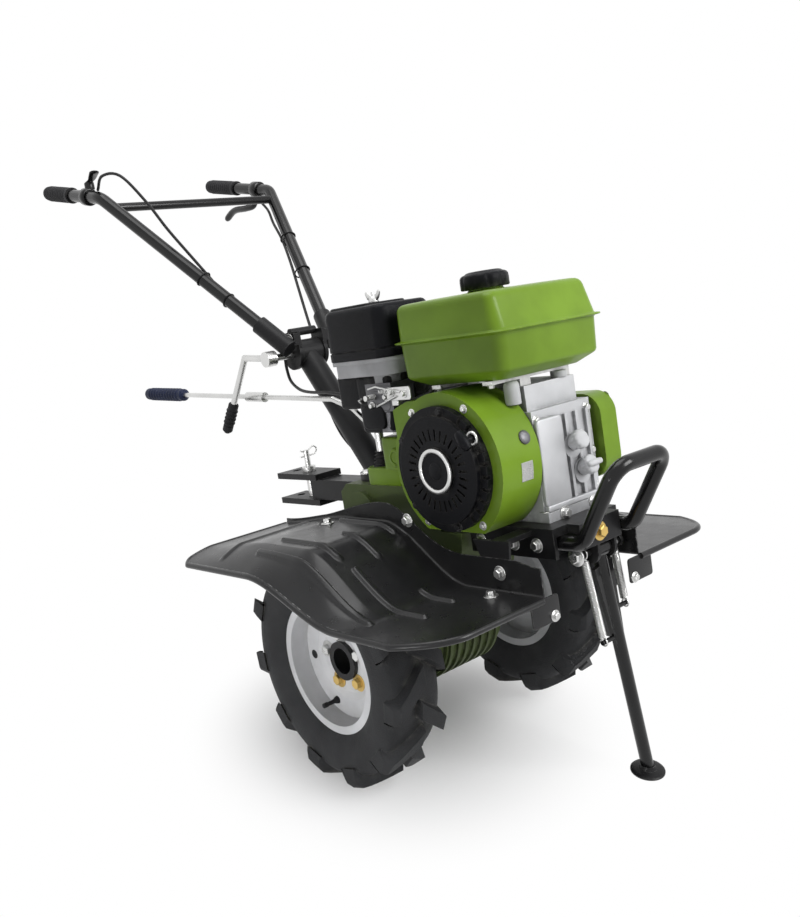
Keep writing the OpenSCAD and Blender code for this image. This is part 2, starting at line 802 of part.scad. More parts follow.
// Tyre as one closed skin about Z: rings of points from bead to bead and back inside, where the
// points on a lug stand out from the tread and each half of the tread has its own slanted lugs
module lugged_ring() {
    wide = tyre_w / 2;
    bead = rim_half - 4.3;
    bead_in = bead_r + 0.4;
    wall_h = tyre_r - rim_r;
    side_r = rim_r + 0.4 * wall_h;
    shoulder_r = rim_r + 0.76 * wall_h;
    inner_r = rim_r + 0.6 * wall_h;
    pitch = 360 / lug_count;
    // One half from the bead to the middle: radius, offset, radius on a lug, offset on a lug
    half = [
        [bead_in, bead, bead_in, bead],
        [rim_r + 1, bead + 0.7, rim_r + 1, bead + 0.7],
        [side_r, wide - 1.5, side_r, wide - 1.5],
        [shoulder_r, wide - 6, tyre_r - 9, wide],
        [carcass_r, wide - 13, tyre_r, wide - 5],
        [carcass_r, 4, tyre_r, 3]
    ];
    inside = [[bead_in, bead - 10], [inner_r, wide - 16]];
    turns = [for (k = [0 : lug_count - 1], h = [0, 1], m = lug_marks) (k + h / 2) * pitch + m];
    n = len(turns);
    // Point i of station j in the half h, where h is 0 or 1
    function on_lug(i, h) = floor(i / 4) % 2 == h && (i % 4 == 1 || i % 4 == 2);
    function slant(j) = j < 3 ? 0 : lug_slant * (1 - half[j][1] / wide);
    function polar(r, a, z) = [r * cos(a), r * sin(a), z];
    function tread(i, j, h) = let (s = half[j], k = on_lug(i, h) ? 2 : 0, up = 2 * h - 1)
        polar(s[k], turns[i] + slant(j), up * s[k + 1]);
    function within(i, j, up) = polar(inside[j][0], turns[i], up * inside[j][1]);
    rings = [
        for (j = [0 : 5]) [for (i = [0 : n - 1]) tread(i, j, 0)],
        for (j = [5 : -1 : 0]) [for (i = [0 : n - 1]) tread(i, j, 1)],
        for (j = [0, 1]) [for (i = [0 : n - 1]) within(i, j, 1)],
        for (j = [1, 0]) [for (i = [0 : n - 1]) within(i, j, -1)]
    ];
    m = len(rings);
    function at(i, j) = (j % m) * n + i % n;
    polyhedron(
        [for (ring = rings) each ring],
        [for (i = [0 : n - 1], j = [0 : m - 1]) each [
            [at(i, j), at(i, j + 1), at(i + 1, j + 1)],
            [at(i, j), at(i + 1, j + 1), at(i + 1, j)]]],
        convexity = 8
    );
}

module tyre(s) {
    color(black) mirror([0, s < 0 ? 1 : 0, 0]) on_axle(1)
        translate([0, 0, tyre_mid]) rotate([0, 0, 90 - lug_marks[1] - lug_first]) lugged_ring();
}

module rim(s) {
    color([0.78, 0.79, 0.8]) on_axle(s) translate([0, 0, tyre_mid]) rotate_extrude($fn = 96) {
        polygon([
            [bead_r - 4, -rim_half], [rim_r, -rim_half], [rim_r, -rim_half + 3],
            [bead_r, -rim_half + 4], [bead_r, rim_half - 4], [rim_r, rim_half - 3],
            [rim_r, rim_half], [bead_r - 4, rim_half]
        ]);
        polygon([
            [hub_d / 2, -8], [60, -8], [72, -3], [bead_r - 3, -3], [bead_r - 3, 2], [70, 2],
            [58, -3], [hub_d / 2, -3]
        ]);
    }
}

module axle(s) {
    color(steel) on_axle(s) {
        difference() {
            translate([0, 0, hub_in]) cylinder(d = hub_d, h = hub_out - hub_in);
            translate([0, 0, hub_out - 30]) cylinder(d = hub_bore_d, h = 60);
        }
        translate([0, 0, case_half + 2]) cylinder(d = shaft_d, h = hub_in - case_half);
    }
}

module right_tyre() { tyre(-1); }
module left_tyre() { tyre(1); }
module right_rim() { rim(-1); }
module left_rim() { rim(1); }
module right_axle() { axle(-1); }
module left_axle() { axle(1); }

// Puts what is drawn along Z onto the stand's leg, with Y kept along the pivot
module on_stand() {
    d = unit(foot_p - stand_p);
    translate(stand_p) rotate([-asin(d[1]), atan2(d[0], d[2]), 0]) children();
}

// Flat plate that widens the leg below its barrel
module leg_plate() {
    translate([-4, 0, 0]) rotate([90, 0, 90]) linear_extrude(8)
        polygon([[-23, 28], [23, 28], [16, 120], [10, 190], [-10, 190], [-16, 120]]);
}

module stand_leg() {
    color(black) difference() {
        union() {
            translate(stand_p) rotate([90, 0, 0]) cylinder(r = 15, h = 2 * barrel_half, center = true);
            rod(stand_p, foot_p, leg_d / 2);
            on_stand() leg_plate();
            rod(on_leg(165), on_leg(165) + [0, -41, 0], 4);
            rod(on_leg(115), on_leg(115) + [0, 41, 0], 4);
        }
        translate(stand_p) rotate([90, 0, 0])
            cylinder(d = stand_bolt_d + 2 * running_gap, h = 200, center = true);
        block(foot_p - [foot_d, foot_d, 50], foot_p + [foot_d, foot_d, 0]);
    }
}

module stand_foot() {
    color(black) translate([foot_p[0], foot_p[1], 0]) cylinder(d = foot_d, h = foot_h);
}

// Coil spring between the pivot bolt and a peg on the leg, with an eye at each end
module stand_spring(side, reach) {
    peg = on_leg(reach) + [0, side * 36, 0];
    top = stand_p + [0, side * (cheek_gap + cheek_t + 14), 0];
    down = unit(peg - top);
    rod(top + (stand_bolt_d / 2 + 3.4) * down, peg - 7 * down, 6);
    for (e = [[top, stand_bolt_d / 2 + 2.4], [peg, 6.4]])
        translate(e[0]) rotate([90, 0, 0]) rotate_extrude($fn = 32) translate([e[1], 0]) circle(r = 2, $fn = 16);
}

module stand_springs() {
    color(steel) {
        stand_spring(-1, 165);
        stand_spring(1, 115);
    }
}

gearbox_case();
axle_housings();
engine_base();
bumper_hoop();
crankcase();
cylinder_();  // cylinder
fan_shroud();
recoil_starter();
oil_plugs();
fuel_tank();
fuel_cap();
tank_brackets();
air_filter_base();
air_filter_cover();
filter_wing_nut();
carburettor();
muffler();
drive_guard();
right_fender();
left_fender();
fender_brackets();
hitch_bracket();
hitch_pin();
handlebar_column();
gear_lever();
gear_lever_grip();
stand_bracket();
throttle_cable_low();
clutch_cable_low();
handlebar_arms();
handlebar_yoke();
grips();
throttle_lever();
clutch_lever();
clamp_crank();
clamp_crank_grip();
throttle_cable_high();
clutch_cable_high();
right_tyre();
right_rim();
right_axle();
left_tyre();
left_rim();
left_axle();
stand_leg();
stand_foot();
stand_springs();
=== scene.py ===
# %% [markdown]
# # A walking tractor, dressed for the library
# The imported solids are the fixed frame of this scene. They already have the right sizes and
# they already move, so this lesson only adds what a solid model lacks: the finishes, the thin
# pressed shapes, the springs and cables, and the small fasteners.
# Everything is in metres, +X is forward, +Y is the machine's left and +Z is up.

# %% Load the frame
import math

import bpy
import numpy as np
from mathutils import Matrix, Vector


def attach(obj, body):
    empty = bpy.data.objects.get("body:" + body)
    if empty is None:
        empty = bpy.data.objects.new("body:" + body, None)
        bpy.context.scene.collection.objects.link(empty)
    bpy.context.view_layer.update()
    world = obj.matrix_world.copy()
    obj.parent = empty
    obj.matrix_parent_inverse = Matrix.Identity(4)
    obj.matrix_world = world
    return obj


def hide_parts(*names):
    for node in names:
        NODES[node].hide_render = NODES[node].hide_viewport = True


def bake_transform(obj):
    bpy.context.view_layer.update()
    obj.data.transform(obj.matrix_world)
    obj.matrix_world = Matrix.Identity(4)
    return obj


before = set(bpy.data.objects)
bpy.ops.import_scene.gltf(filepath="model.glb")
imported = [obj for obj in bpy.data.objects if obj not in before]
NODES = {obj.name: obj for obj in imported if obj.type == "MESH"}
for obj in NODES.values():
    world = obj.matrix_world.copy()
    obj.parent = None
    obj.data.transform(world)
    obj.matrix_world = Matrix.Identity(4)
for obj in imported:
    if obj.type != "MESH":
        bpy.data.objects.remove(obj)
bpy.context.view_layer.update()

# %% [markdown]
# ## Camera
# The photograph was taken from the front right, a little above the tank. The camera's place was
# solved from points that can be recognised on the machine, so it is given as numbers here. A
# Track To constraint would also aim a camera, but a fixed turn keeps the small roll as well.

# %% Camera
CAMERA_PLACE = (1.48684, -1.10892, 1.04544)
CAMERA_TURN, CAMERA_DOWN, CAMERA_ROLL = np.radians((48.64, 18.29, -0.43))
PICTURE_HIGH = 917
FOCAL_PIXELS = 965.83
SENSOR = 36.0

camera_data = bpy.data.cameras.new("camera")
camera_data.sensor_width = SENSOR
camera_data.lens = FOCAL_PIXELS / PICTURE_HIGH * SENSOR
camera = bpy.data.objects.new("camera", camera_data)
camera.matrix_world = (
    Matrix.Translation(CAMERA_PLACE)
    @ Matrix.Rotation(CAMERA_TURN, 4, "Z")
    @ Matrix.Rotation(math.pi / 2 - CAMERA_DOWN, 4, "X")
    @ Matrix.Rotation(CAMERA_ROLL, 4, "Z")
)
bpy.context.collection.objects.link(camera)
bpy.context.scene.camera = camera
bpy.context.scene.view_settings.view_transform = "Standard"
print("lens:", round(camera_data.lens, 2), "mm")

# %% [markdown]
# ## Shader sums as Python expressions
# A finish is a small sum of noises and masks. Clicking Math nodes together hides that sum, so a
# socket is wrapped in a class whose operators add the nodes: `1 - mask * 0.3` is then a line of
# Python. Colours don't go through Math nodes, which would turn them grey, but through Mix.


# %% Socket sums
class Val:
    """A socket that takes part in sums. Each operator adds one Math node to its tree."""

    def __init__(self, finish, socket):
        self.finish = finish
        self.socket = socket

    def math(self, operation, *terms, clamp=False):
        settings = {"operation": operation, "use_clamp": clamp}
        return self.finish.node("ShaderNodeMath", settings, dict(enumerate(terms)))

    def __add__(self, other):
        return self.math("ADD", self, other)

    def __sub__(self, other):
        return self.math("SUBTRACT", self, other)

    def __rsub__(self, other):
        return self.math("SUBTRACT", other, self)

    def __mul__(self, other):
        return self.math("MULTIPLY", self, other)

    __radd__ = __add__
    __rmul__ = __mul__

    def step(self, low, high):
        """Goes smoothly from 0 at low to 1 at high."""
        settings = {"interpolation_type": "SMOOTHSTEP"}
        return self.finish.node("ShaderNodeMapRange", settings, {0: self, 1: low, 2: high})

    def most(self, other):
        return self.math("MAXIMUM", self, other)


class Finish:
    """One material: a Principled shader and the nodes that feed it."""

    def __init__(self, name, **constants):
        self.material = bpy.data.materials.new(name)
        self.material.use_nodes = True
        self.tree = self.material.node_tree
        self.shader = self.tree.nodes["Principled BSDF"]
        for socket, value in constants.items():
            self.set(socket.replace("_", " ").title().replace("Ior", "IOR"), value)

    def set(self, socket, value):
        """Gives one of the shader's sockets a plain value, or links a sum to it."""
        self.put(self.shader.inputs[socket], value)

    def put(self, socket, value):
        if isinstance(value, Val):
            self.tree.links.new(value.socket, socket)
        elif isinstance(value, tuple) and socket.type == "RGBA" and len(value) == 3:
            socket.default_value = (*value, 1.0)
        else:
            socket.default_value = value

    def node(self, kind, settings=None, inputs=None, out=0):
        """Adds a node: its settings first, then the values or links of its sockets."""
        made = self.tree.nodes.new(kind)
        for key, value in (settings or {}).items():
            setattr(made, key, value)
        for key, value in (inputs or {}).items():
            self.put(made.inputs[key], value)
        return Val(self, made.outputs[out])

    def place(self, move=(0, 0, 0)):
        """Object coordinates, moved by a Mapping node."""
        spot = self.node("ShaderNodeTexCoord", out="Object")
        return self.node("ShaderNodeMapping", None, {"Vector": spot, "Location": move})

    def noise(self, scale, detail=3.0):
        """Cloudy noise with about `scale` blotches in a metre."""
        settings = {"Vector": self.place(), "Scale": scale, "Detail": detail}
        return self.node("ShaderNodeTexNoise", None, settings)

    def specks(self, scale):
        """Distance to the nearest of `scale` random points in a metre, 0 at the points."""
        return self.node("ShaderNodeTexVoronoi", None, {"Vector": self.place(), "Scale": scale})

    def mix(self, share, first, second):
        """The first colour where share is 0 and the second where it is 1."""
        settings = {"data_type": "RGBA", "clamp_factor": True}
        return self.node("ShaderNodeMix", settings, {0: share, 6: first, 7: second}, out=2)

    def edges(self, radius):
        """1 along sharp outer edges, 0 on the flats: how far a rounded normal leaves the true one."""
        soft = self.node("ShaderNodeBevel", {"samples": 6}, {"Radius": radius})
        true = self.node("ShaderNodeNewGeometry", out="Normal")
        dot = {"operation": "DOT_PRODUCT"}
        same = self.node("ShaderNodeVectorMath", dot, {0: soft, 1: true}, out=1)
        return (1 - same).step(0.01, 0.14)

    def corners(self, reach):
        """1 in the nooks, 0 on open faces: it lays dust on the paints and plastics, and grease with
        painted shade on the metals.
        """
        settings = {"samples": 6, "only_local": False}
        open_share = self.node("ShaderNodeAmbientOcclusion", settings, {"Distance": reach}, out="AO")
        return 1 - open_share.step(0.25, 0.9)

    def relief(self, height, depth, radius=0.0012):
        """Rounds the edges of the shading by radius, and raises it by height times depth."""
        soft = self.node("ShaderNodeBevel", {"samples": 4}, {"Radius": radius})
        bump = {"Height": height, "Distance": depth, "Strength": 1.0, "Normal": soft}
        self.set("Normal", self.node("ShaderNodeBump", None, bump))


print("socket sums ready")

# %% [markdown]
# ## Floor and light
# The machine stands on a seamless white sweep under soft studio lamps. The floor is a real
# diffuse surface near the machine, so that it keeps the shadow, and fades into plain white away
# from it, where the camera would otherwise see an edge. The lamps are at a plain level: a white
# card on the floor comes out just about white.

# %% Floor
WHITE = (1.0, 1.0, 1.0)
FLOOR_WHITE = (0.93, 0.93, 0.935)
FLOOR_HALF = 14.0
FLOOR_CORNERS = ((-1, -1), (1, -1), (1, 1), (-1, 1))
FADE_FROM, FADE_TO = 0.06, 0.42
FADE_MIDDLE = (-0.3, 0.05, 0.0)


def seen_directly(finish):
    """1 for the rays that show the background itself: from the camera, a mirror or glass."""
    names = ("Is Camera Ray", "Is Glossy Ray", "Is Transmission Ray")
    rays = [finish.node("ShaderNodeLightPath", out=name) for name in names]
    return rays[0].most(rays[1]).most(rays[2])


floor_white = Finish("studio_floor", roughness=0.9, specular_ior_level=0.0)
floor_white.set("Base Color", FLOOR_WHITE)
spot = floor_white.place(move=FADE_MIDDLE)
away = floor_white.node("ShaderNodeVectorMath", {"operation": "LENGTH"}, {0: spot}, out=1)
glow = floor_white.node("ShaderNodeEmission", None, {"Color": WHITE, "Strength": 1.0})
fade = away.step(FADE_FROM, FADE_TO) * seen_directly(floor_white)
mixed = floor_white.node("ShaderNodeMixShader", None, {0: fade, 2: glow})
mix_node = mixed.socket.node
floor_white.tree.links.new(floor_white.shader.outputs[0], mix_node.inputs[1])
floor_white.tree.links.new(mixed.socket, floor_white.tree.nodes["Material Output"].inputs[0])

floor_mesh = bpy.data.meshes.new("floor")
corners = [(x * FLOOR_HALF, y * FLOOR_HALF, 0.0) for x, y in FLOOR_CORNERS]
floor_mesh.from_pydata(corners, [], [(0, 1, 2, 3)])
floor_mesh.materials.append(floor_white.material)
floor = bpy.data.objects.new("floor", floor_mesh)
bpy.context.collection.objects.link(floor)
print("floor:", 2 * FLOOR_HALF, "m wide")

# %% Lamps and world
AIM = (0.15, 0.0, 0.45)
WHEEL_AIM, WHEEL_SPREAD = (0.36, -0.2, 0.16), 22
WORLD_LEVEL = 0.16


def soft_lamp(name, place, size, watts, aim=AIM, spread=180):
    """A square area lamp at place that faces aim, with its beam held in to the spread angle."""
    data = bpy.data.lights.new(name, "AREA")
    data.size = size
    data.energy = watts
    data.spread = math.radians(spread)
    lamp = bpy.data.objects.new(name, data)
    turn = (Vector(place) - Vector(aim)).to_track_quat("Z", "Y")
    lamp.matrix_world = Matrix.Translation(place) @ turn.to_matrix().to_4x4()
    bpy.context.collection.objects.link(lamp)
    return lamp


soft_lamp("key_lamp", (2.7, 0.9, 2.4), 1.6, 78)
soft_lamp("top_lamp", (-0.3, -0.2, 3.4), 2.2, 46)
soft_lamp("side_lamp", (-0.8, -3.2, 1.7), 1.6, 2)
soft_lamp("wheel_lamp", (0.8, -2.2, 0.3), 0.7, 0.7, WHEEL_AIM, WHEEL_SPREAD)

world = bpy.data.worlds.new("studio")
world.use_nodes = True
bpy.context.scene.world = world


class Sky(Finish):
    """The world's nodes, made by the same methods as a material's."""

    def __init__(self, tree):
        self.tree = tree


sky = Sky(world.node_tree)
level = WORLD_LEVEL + seen_directly(sky) * (1.0 - WORLD_LEVEL)
backdrop = world.node_tree.nodes["Background"]
backdrop.inputs["Color"].default_value = (*WHITE, 1.0)
sky.put(backdrop.inputs["Strength"], level)

# %% [markdown]
# ## Paints
# The engine's sheet metal has a glossy lime paint under a clear coat. Real paint is never one
# colour: it has a faint orange peel, thin dust on top and lighter, rubbed edges; on the lime
# those lighter edges are also a painted highlight. The frame and the fenders wear the same
# paint in black, and the castings a thinner and rougher green.

# %% Paints
# The lime's edge colour is a lighter lime: partly scuffed paint, partly a painted highlight.
LIME, LIME_WORN_AND_LIT = (0.168, 0.29, 0.016), (0.36, 0.52, 0.06)
OLIVE, OLIVE_WORN = (0.05, 0.075, 0.014), (0.2, 0.24, 0.1)
GLOSS_BLACK, SATIN_BLACK = (0.004, 0.004, 0.0045), (0.009, 0.009, 0.01)
SHEET_BLACK, BLACK_WORN = (0.009, 0.009, 0.0098), (0.5, 0.5, 0.5)
GREY, GREY_WORN = (0.66, 0.665, 0.68), (0.7, 0.7, 0.7)
DUST = (0.32, 0.31, 0.28)


def paint(name, colour, rough, coat, peel, dust=0.12, worn_and_lit_edge=BLACK_WORN, wear_and_highlight=0.5, shine=0.3):
    """Coated paint: cloudy tone, dust in the nooks, lighter scuffed edges that on the lime are also a
    painted highlight, and a fine orange peel.
    """
    f = Finish(name, roughness=rough, coat_roughness=0.08, specular_ior_level=shine)
    cloud = f.noise(9.0, 4.0)
    patchy = f.noise(55.0, 4.0)
    dark = tuple(c * 0.86 for c in colour)
    light = tuple(min(1.0, c * 1.1 + 0.004) for c in colour)
    tone = f.mix(cloud.step(0.3, 0.7), dark, light)
    nook = f.corners(0.03) * patchy.step(0.3, 0.65) * dust
    tone = f.mix(nook, tone, DUST)
    # Lighter colour along sharp edges: scuffed paint, and on the lime paint also a painted highlight.
    rubbed_and_lit_edges = f.edges(0.0018) * f.noise(120.0, 3.0).step(0.46, 0.62) * wear_and_highlight
    f.set("Base Color", f.mix(rubbed_and_lit_edges, tone, worn_and_lit_edge))
    f.set("Roughness", rough + (patchy - 0.5) * 0.16 + nook * 0.5)
    f.set("Coat Weight", coat - nook * coat)
    f.relief(f.noise(480.0, 2.0) * 0.7 + cloud * 0.3, peel)
    return f.material


# The lime's high edge share paints a highlight along its seams and edges, besides scuffing.
lime_paint = paint("lime_paint", LIME, 0.34, 0.08, 0.0001, worn_and_lit_edge=LIME_WORN_AND_LIT, wear_and_highlight=0.7, shine=0.2)
olive_paint = paint("olive_cast_paint", OLIVE, 0.55, 0.05, 0.0005, 0.25, OLIVE_WORN, 0.3)
black_gloss = paint("black_gloss_paint", GLOSS_BLACK, 0.2, 0.05, 0.00008, dust=0.05, wear_and_highlight=0.14)
black_satin = paint("black_satin_paint", SATIN_BLACK, 0.4, 0.03, 0.0002, dust=0.08, wear_and_highlight=0.2, shine=0.2)
fender_black = paint("fender_black_paint", SHEET_BLACK, 0.3, 0.1, 0.0001, dust=0.06)
rim_grey = paint("rim_grey_paint", GREY, 0.4, 0.12, 0.0002, dust=0.3, worn_and_lit_edge=GREY_WORN)
paints = (lime_paint, olive_paint, black_gloss, black_satin, fender_black, rim_grey)
print("paints:", [finish.name for finish in paints])

# %% [markdown]
# ## Bare metal
# The crankcase is a raw aluminium casting with a sandy skin, the fasteners and rods are zinc
# plated, and the silencer is steel that has been hot. All are metals to the shader; what tells
# them apart is the size of the grain and how the roughness wanders.

# %% Metals
# The first colour is the near black laid into the metals' nooks: grease, and painted shade.
GRIME_AND_SHADE, SCORCH = (0.03, 0.028, 0.025), (0.2, 0.13, 0.08)


def metal(name, colour, rough, grain, depth, metallic=1.0, grime_and_shade_share=0.5, stain=None):
    """Metal with a grain of `grain` specks in a metre, nooks darkened by grease and painted shade, and
    cleaner edges.
    """
    f = Finish(name)
    cloud = f.noise(14.0, 5.0)
    fine = f.noise(grain, 3.0)
    tone = f.mix(cloud.step(0.3, 0.72), tuple(c * 0.84 for c in colour), colour)
    if stain:
        tone = f.mix(f.noise(7.0, 4.0).step(0.42, 0.66) * 0.8, tone, stain)
    # Nooks go near black through the occlusion mask: grease, and painted shade.
    grime_and_shade = f.corners(0.025) * f.noise(70.0, 4.0).step(0.25, 0.6) * grime_and_shade_share
    tone = f.mix(grime_and_shade, tone, GRIME_AND_SHADE)
    bright = tuple(min(0.95, c * 1.25) for c in colour)
    f.set("Base Color", f.mix(f.edges(0.0012) * 0.6, tone, bright))
    f.set("Metallic", metallic - grime_and_shade * metallic * 0.8)
    f.set("Roughness", rough + (cloud - 0.5) * 0.2 + grime_and_shade * 0.4)
    f.relief(fine, depth, 0.0009)
    return f.material


# Each metal darkens its nooks with grease and painted shade at its own share.
cast_silver = metal("cast_aluminium", (0.55, 0.555, 0.57), 0.5, 900.0, 0.0004, 0.75)
zinc = metal("zinc_plate", (0.72, 0.72, 0.71), 0.28, 1500.0, 0.00008, grime_and_shade_share=0.4)
carb_metal = metal("carburettor_metal", (0.16, 0.16, 0.17), 0.4, 1100.0, 0.0003, 0.7)
hot_steel = metal("silencer_steel", (0.36, 0.35, 0.34), 0.42, 700.0, 0.0002, 0.9, stain=SCORCH)
yellow_zinc = metal("yellow_zinc_plate", (0.72, 0.5, 0.16), 0.32, 1500.0, 0.00008, grime_and_shade_share=0.4)
metals = (cast_silver, zinc, carb_metal, hot_steel, yellow_zinc)
print("metals:", [finish.name for finish in metals])

# %% [markdown]
# ## Plastic and rubber
# Moulded plastic has a fine leathery grain from its mould, and rubber is dull and picks up dust.
# The same recipe serves both: a speckled bump, a soft sheen and dust that lies in the nooks.

# %% Plastics and rubbers


def moulded(name, colour, rough, grain, depth, dust=0.25, pale=0.0, shine=0.28):
    """Moulded plastic or rubber: specks of grain as bump, cloudy tone, dust in the nooks."""
    f = Finish(name, specular_ior_level=shine)
    cloud = f.noise(16.0, 4.0)
    dark, light = tuple(c * 0.8 for c in colour), tuple(c * 1.15 + pale for c in colour)
    tone = f.mix(cloud.step(0.3, 0.7), dark, light)
    nook = f.corners(0.02) * f.noise(60.0, 5.0).step(0.35, 0.65) * dust
    f.set("Base Color", f.mix(nook + f.edges(0.0012) * 0.08, tone, DUST))
    f.set("Roughness", rough + (f.noise(40.0, 3.0) - 0.5) * 0.18 + nook * 0.3)
    f.relief(f.specks(grain), depth, 0.0012)
    return f.material


black_plastic = moulded("black_plastic", (0.006, 0.0063, 0.0082), 0.34, 900.0, 0.00025, shine=0.1)
grey_plastic = moulded("grey_plastic", (0.58, 0.585, 0.6), 0.45, 900.0, 0.0002)
tyre_rubber = moulded("tyre_rubber", (0.014, 0.0145, 0.016), 0.64, 420.0, 0.0005, 0.3, 0.004)
grip_rubber = moulded("grip_rubber", (0.013, 0.013, 0.015), 0.6, 700.0, 0.0003)
blue_rubber = moulded("blue_grip_rubber", (0.012, 0.02, 0.06), 0.5, 700.0, 0.0003)
cable_sheath = moulded("cable_sheath", (0.012, 0.012, 0.013), 0.4, 1200.0, 0.0001)
soft_finishes = (black_plastic, grey_plastic, tyre_rubber, grip_rubber, blue_rubber, cable_sheath)
print("plastics and rubbers:", [finish.name for finish in soft_finishes])

# %% [markdown]
# ## Dressing the solids
# Each finish is listed with one of the part's material slots and dresses some of its solids.

# %% Dress the solids
DRESS = (
    (olive_paint, "green_cast", "gearbox_case axle_housings"),
    (lime_paint, "green_sheet", "fan_shroud fuel_tank drive_guard"),
    (black_gloss, "black_paint", "bumper_hoop handlebar_arms stand_leg"),
    (black_satin, "black_paint", "engine_base fender_brackets hitch_bracket handlebar_column"),
    (black_satin, "black_paint", "handlebar_yoke clutch_lever stand_bracket stand_foot"),
    (black_satin, "black_paint", "right_axle left_axle"),
    (fender_black, "black_paint", "right_fender left_fender"),
    (rim_grey, "rim_paint", "right_rim left_rim"),
    (cast_silver, "cast_silver", "crankcase cylinder"),
    (zinc, "zinc", "tank_brackets filter_wing_nut hitch_pin gear_lever clamp_crank stand_springs"),
    (yellow_zinc, "zinc", ""),
    (carb_metal, "carb_metal", "carburettor"),
    (hot_steel, "muffler_metal", "muffler"),
    (black_plastic, "black_plastic", "recoil_starter fuel_cap air_filter_cover throttle_lever"),
    (grey_plastic, "grey_plastic", "oil_plugs air_filter_base"),
    (tyre_rubber, "tyre_rubber", "right_tyre left_tyre"),
    (grip_rubber, "grip_rubber", "grips clamp_crank_grip"),
    (blue_rubber, "grip_rubber", "gear_lever_grip"),
    (cable_sheath, "cable_sheath", "throttle_cable_low throttle_cable_high"),
    (cable_sheath, "cable_sheath", "clutch_cable_low clutch_cable_high"),
)
finish_of = {name: finish for finish, slot, names in DRESS for name in names.split()}

for name, node in NODES.items():
    node.data.materials.clear()
    node.data.materials.append(finish_of[name])
print("dressed:", len(finish_of), "of", len(NODES))

# %% [markdown]
# ## Surfaces from arrays
# Every new piece below is a surface worked out with numpy. A grid of points is one array, its
# four-sided faces are another, and both go into a mesh at once. Modelling by hand would be as
# good for one piece, but a formula can be changed, and it is easy to repeat.

# %% Grids, bars and turned forms
MM = 0.001
NOSE_UP = math.radians(13.1)
SHIFT_X, AXLE_HIGH, BODY_AXLE = 392.748, 205.0, 205.0
AHEAD, LEFT, RIGHT, UP, DOWN = (1, 0, 0), (0, 1, 0), (0, -1, 0), (0, 0, 1), (0, 0, -1)
SIDES = (("right", -1), ("left", 1))
BOTH = (-1, 1)


def grid_faces(rows, cols, wrap=False):
    """Index rows of the four-sided faces of a grid; with wrap, the last column joins the first."""
    i, j = np.meshgrid(np.arange(rows - 1), np.arange(cols if wrap else cols - 1), indexing="ij")
    k = (j + 1) % cols
    corners = np.stack([i * cols + j, i * cols + k, (i + 1) * cols + k, (i + 1) * cols + j], -1)
    return corners.reshape(-1, 4)


def unit(v):
    v = np.asarray(v, float)
    return v / np.linalg.norm(v, axis=-1, keepdims=True)


def stand_up(points):
    """Points of the level body, in millimetres, where they stand in metres: turned nose up."""
    p = np.asarray(points, float)
    c, s = math.cos(NOSE_UP), math.sin(NOSE_UP)
    x = SHIFT_X + p[..., 0] * c - (p[..., 2] - BODY_AXLE) * s
    z = AXLE_HIGH + p[..., 0] * s + (p[..., 2] - BODY_AXLE) * c
    return np.stack([x, p[..., 1], z], -1) * MM


def turn_up(directions):
    """Directions in the level body, turned nose up."""
    return (stand_up(directions) - stand_up((0, 0, 0))) / MM


def rings(points):
    """Joins rings of points, one row each, into a skin with a flat cap on both ends."""
    rows, cols = points.shape[:2]
    caps = [list(range(cols))[::-1], list(range((rows - 1) * cols, rows * cols))]
    return points.reshape(-1, 3), grid_faces(rows, cols, wrap=True).tolist() + caps


def bar(path, radius, sides=16, away=(0.2, 1, 0.1), flat=1.0):
    """Bar: each point of the path carries a circle, or one pressed flat, across its heading there."""
    path = np.asarray(path, float)
    heading = unit(np.gradient(path, axis=0))
    across = unit(np.cross(heading, away))
    up = np.cross(heading, across)
    a = np.linspace(0, 2 * np.pi, sides, endpoint=False)[None, :, None]
    r = np.broadcast_to(radius, len(path))[:, None, None]
    circle = np.cos(a) * across[:, None] + flat * np.sin(a) * up[:, None]
    return rings(path[:, None] + r * circle)


def turned(profile, place, axis, sides=48):
    """Turned form: (radius, height) pairs carried round the axis through place."""
    profile = np.asarray(profile, float)
    axis = unit(axis)
    first = unit(np.cross(axis, (0.31, 0.95, 0.05)))
    second = np.cross(axis, first)
    a = np.linspace(0, 2 * np.pi, sides, endpoint=False)[None, :, None]
    circle = np.cos(a) * first + np.sin(a) * second
    return rings(np.asarray(place) + profile[:, None, :1] * circle + profile[:, None, 1:] * axis)


def wire(path, radius, sides=16, away=(0.2, 1, 0.1), flat=1.0):
    """Bar along a path of the level body, all in millimetres."""
    return bar(stand_up(path), np.asarray(radius, float) * MM, sides, away, flat)


def lathe(profile, place, axis, sides=48):
    """Turned form at a place and axis of the level body, all in millimetres."""
    return turned(np.asarray(profile, float) * MM, stand_up(place), turn_up(axis), sides)


def smooth_path(points, steps=8):
    """Catmull-Rom curve through the points: cubic pieces whose slopes come from the neighbours."""
    p = np.asarray(points, float)
    p = np.concatenate([[2 * p[0] - p[1]], p, [2 * p[-1] - p[-2]]])
    t = np.linspace(0, 1, steps, endpoint=False)[None, :, None]
    a, b, c, d = (p[i : len(p) - 3 + i, None] for i in range(4))
    square, cube = 2 * a - 5 * b + 4 * c - d, 3 * b - a - 3 * c + d
    curve = 0.5 * (2 * b + (c - a) * t + square * t**2 + cube * t**3)
    return np.concatenate([curve.reshape(-1, 3), p[-2:-1]])


def round_rect(half_x, half_y, r, per_corner=8):
    """Outline of a rectangle with round corners: four quarter circles in one row of points."""
    a = np.linspace(0, np.pi / 2, per_corner)
    quarter = np.arange(4)[:, None] * np.pi / 2
    sx, sy = np.array([1, -1, -1, 1])[:, None], np.array([1, 1, -1, -1])[:, None]
    x = sx * (half_x - r) + r * np.cos(a + quarter)
    y = sy * (half_y - r) + r * np.sin(a + quarter)
    return np.stack([x.ravel(), y.ravel()], -1)


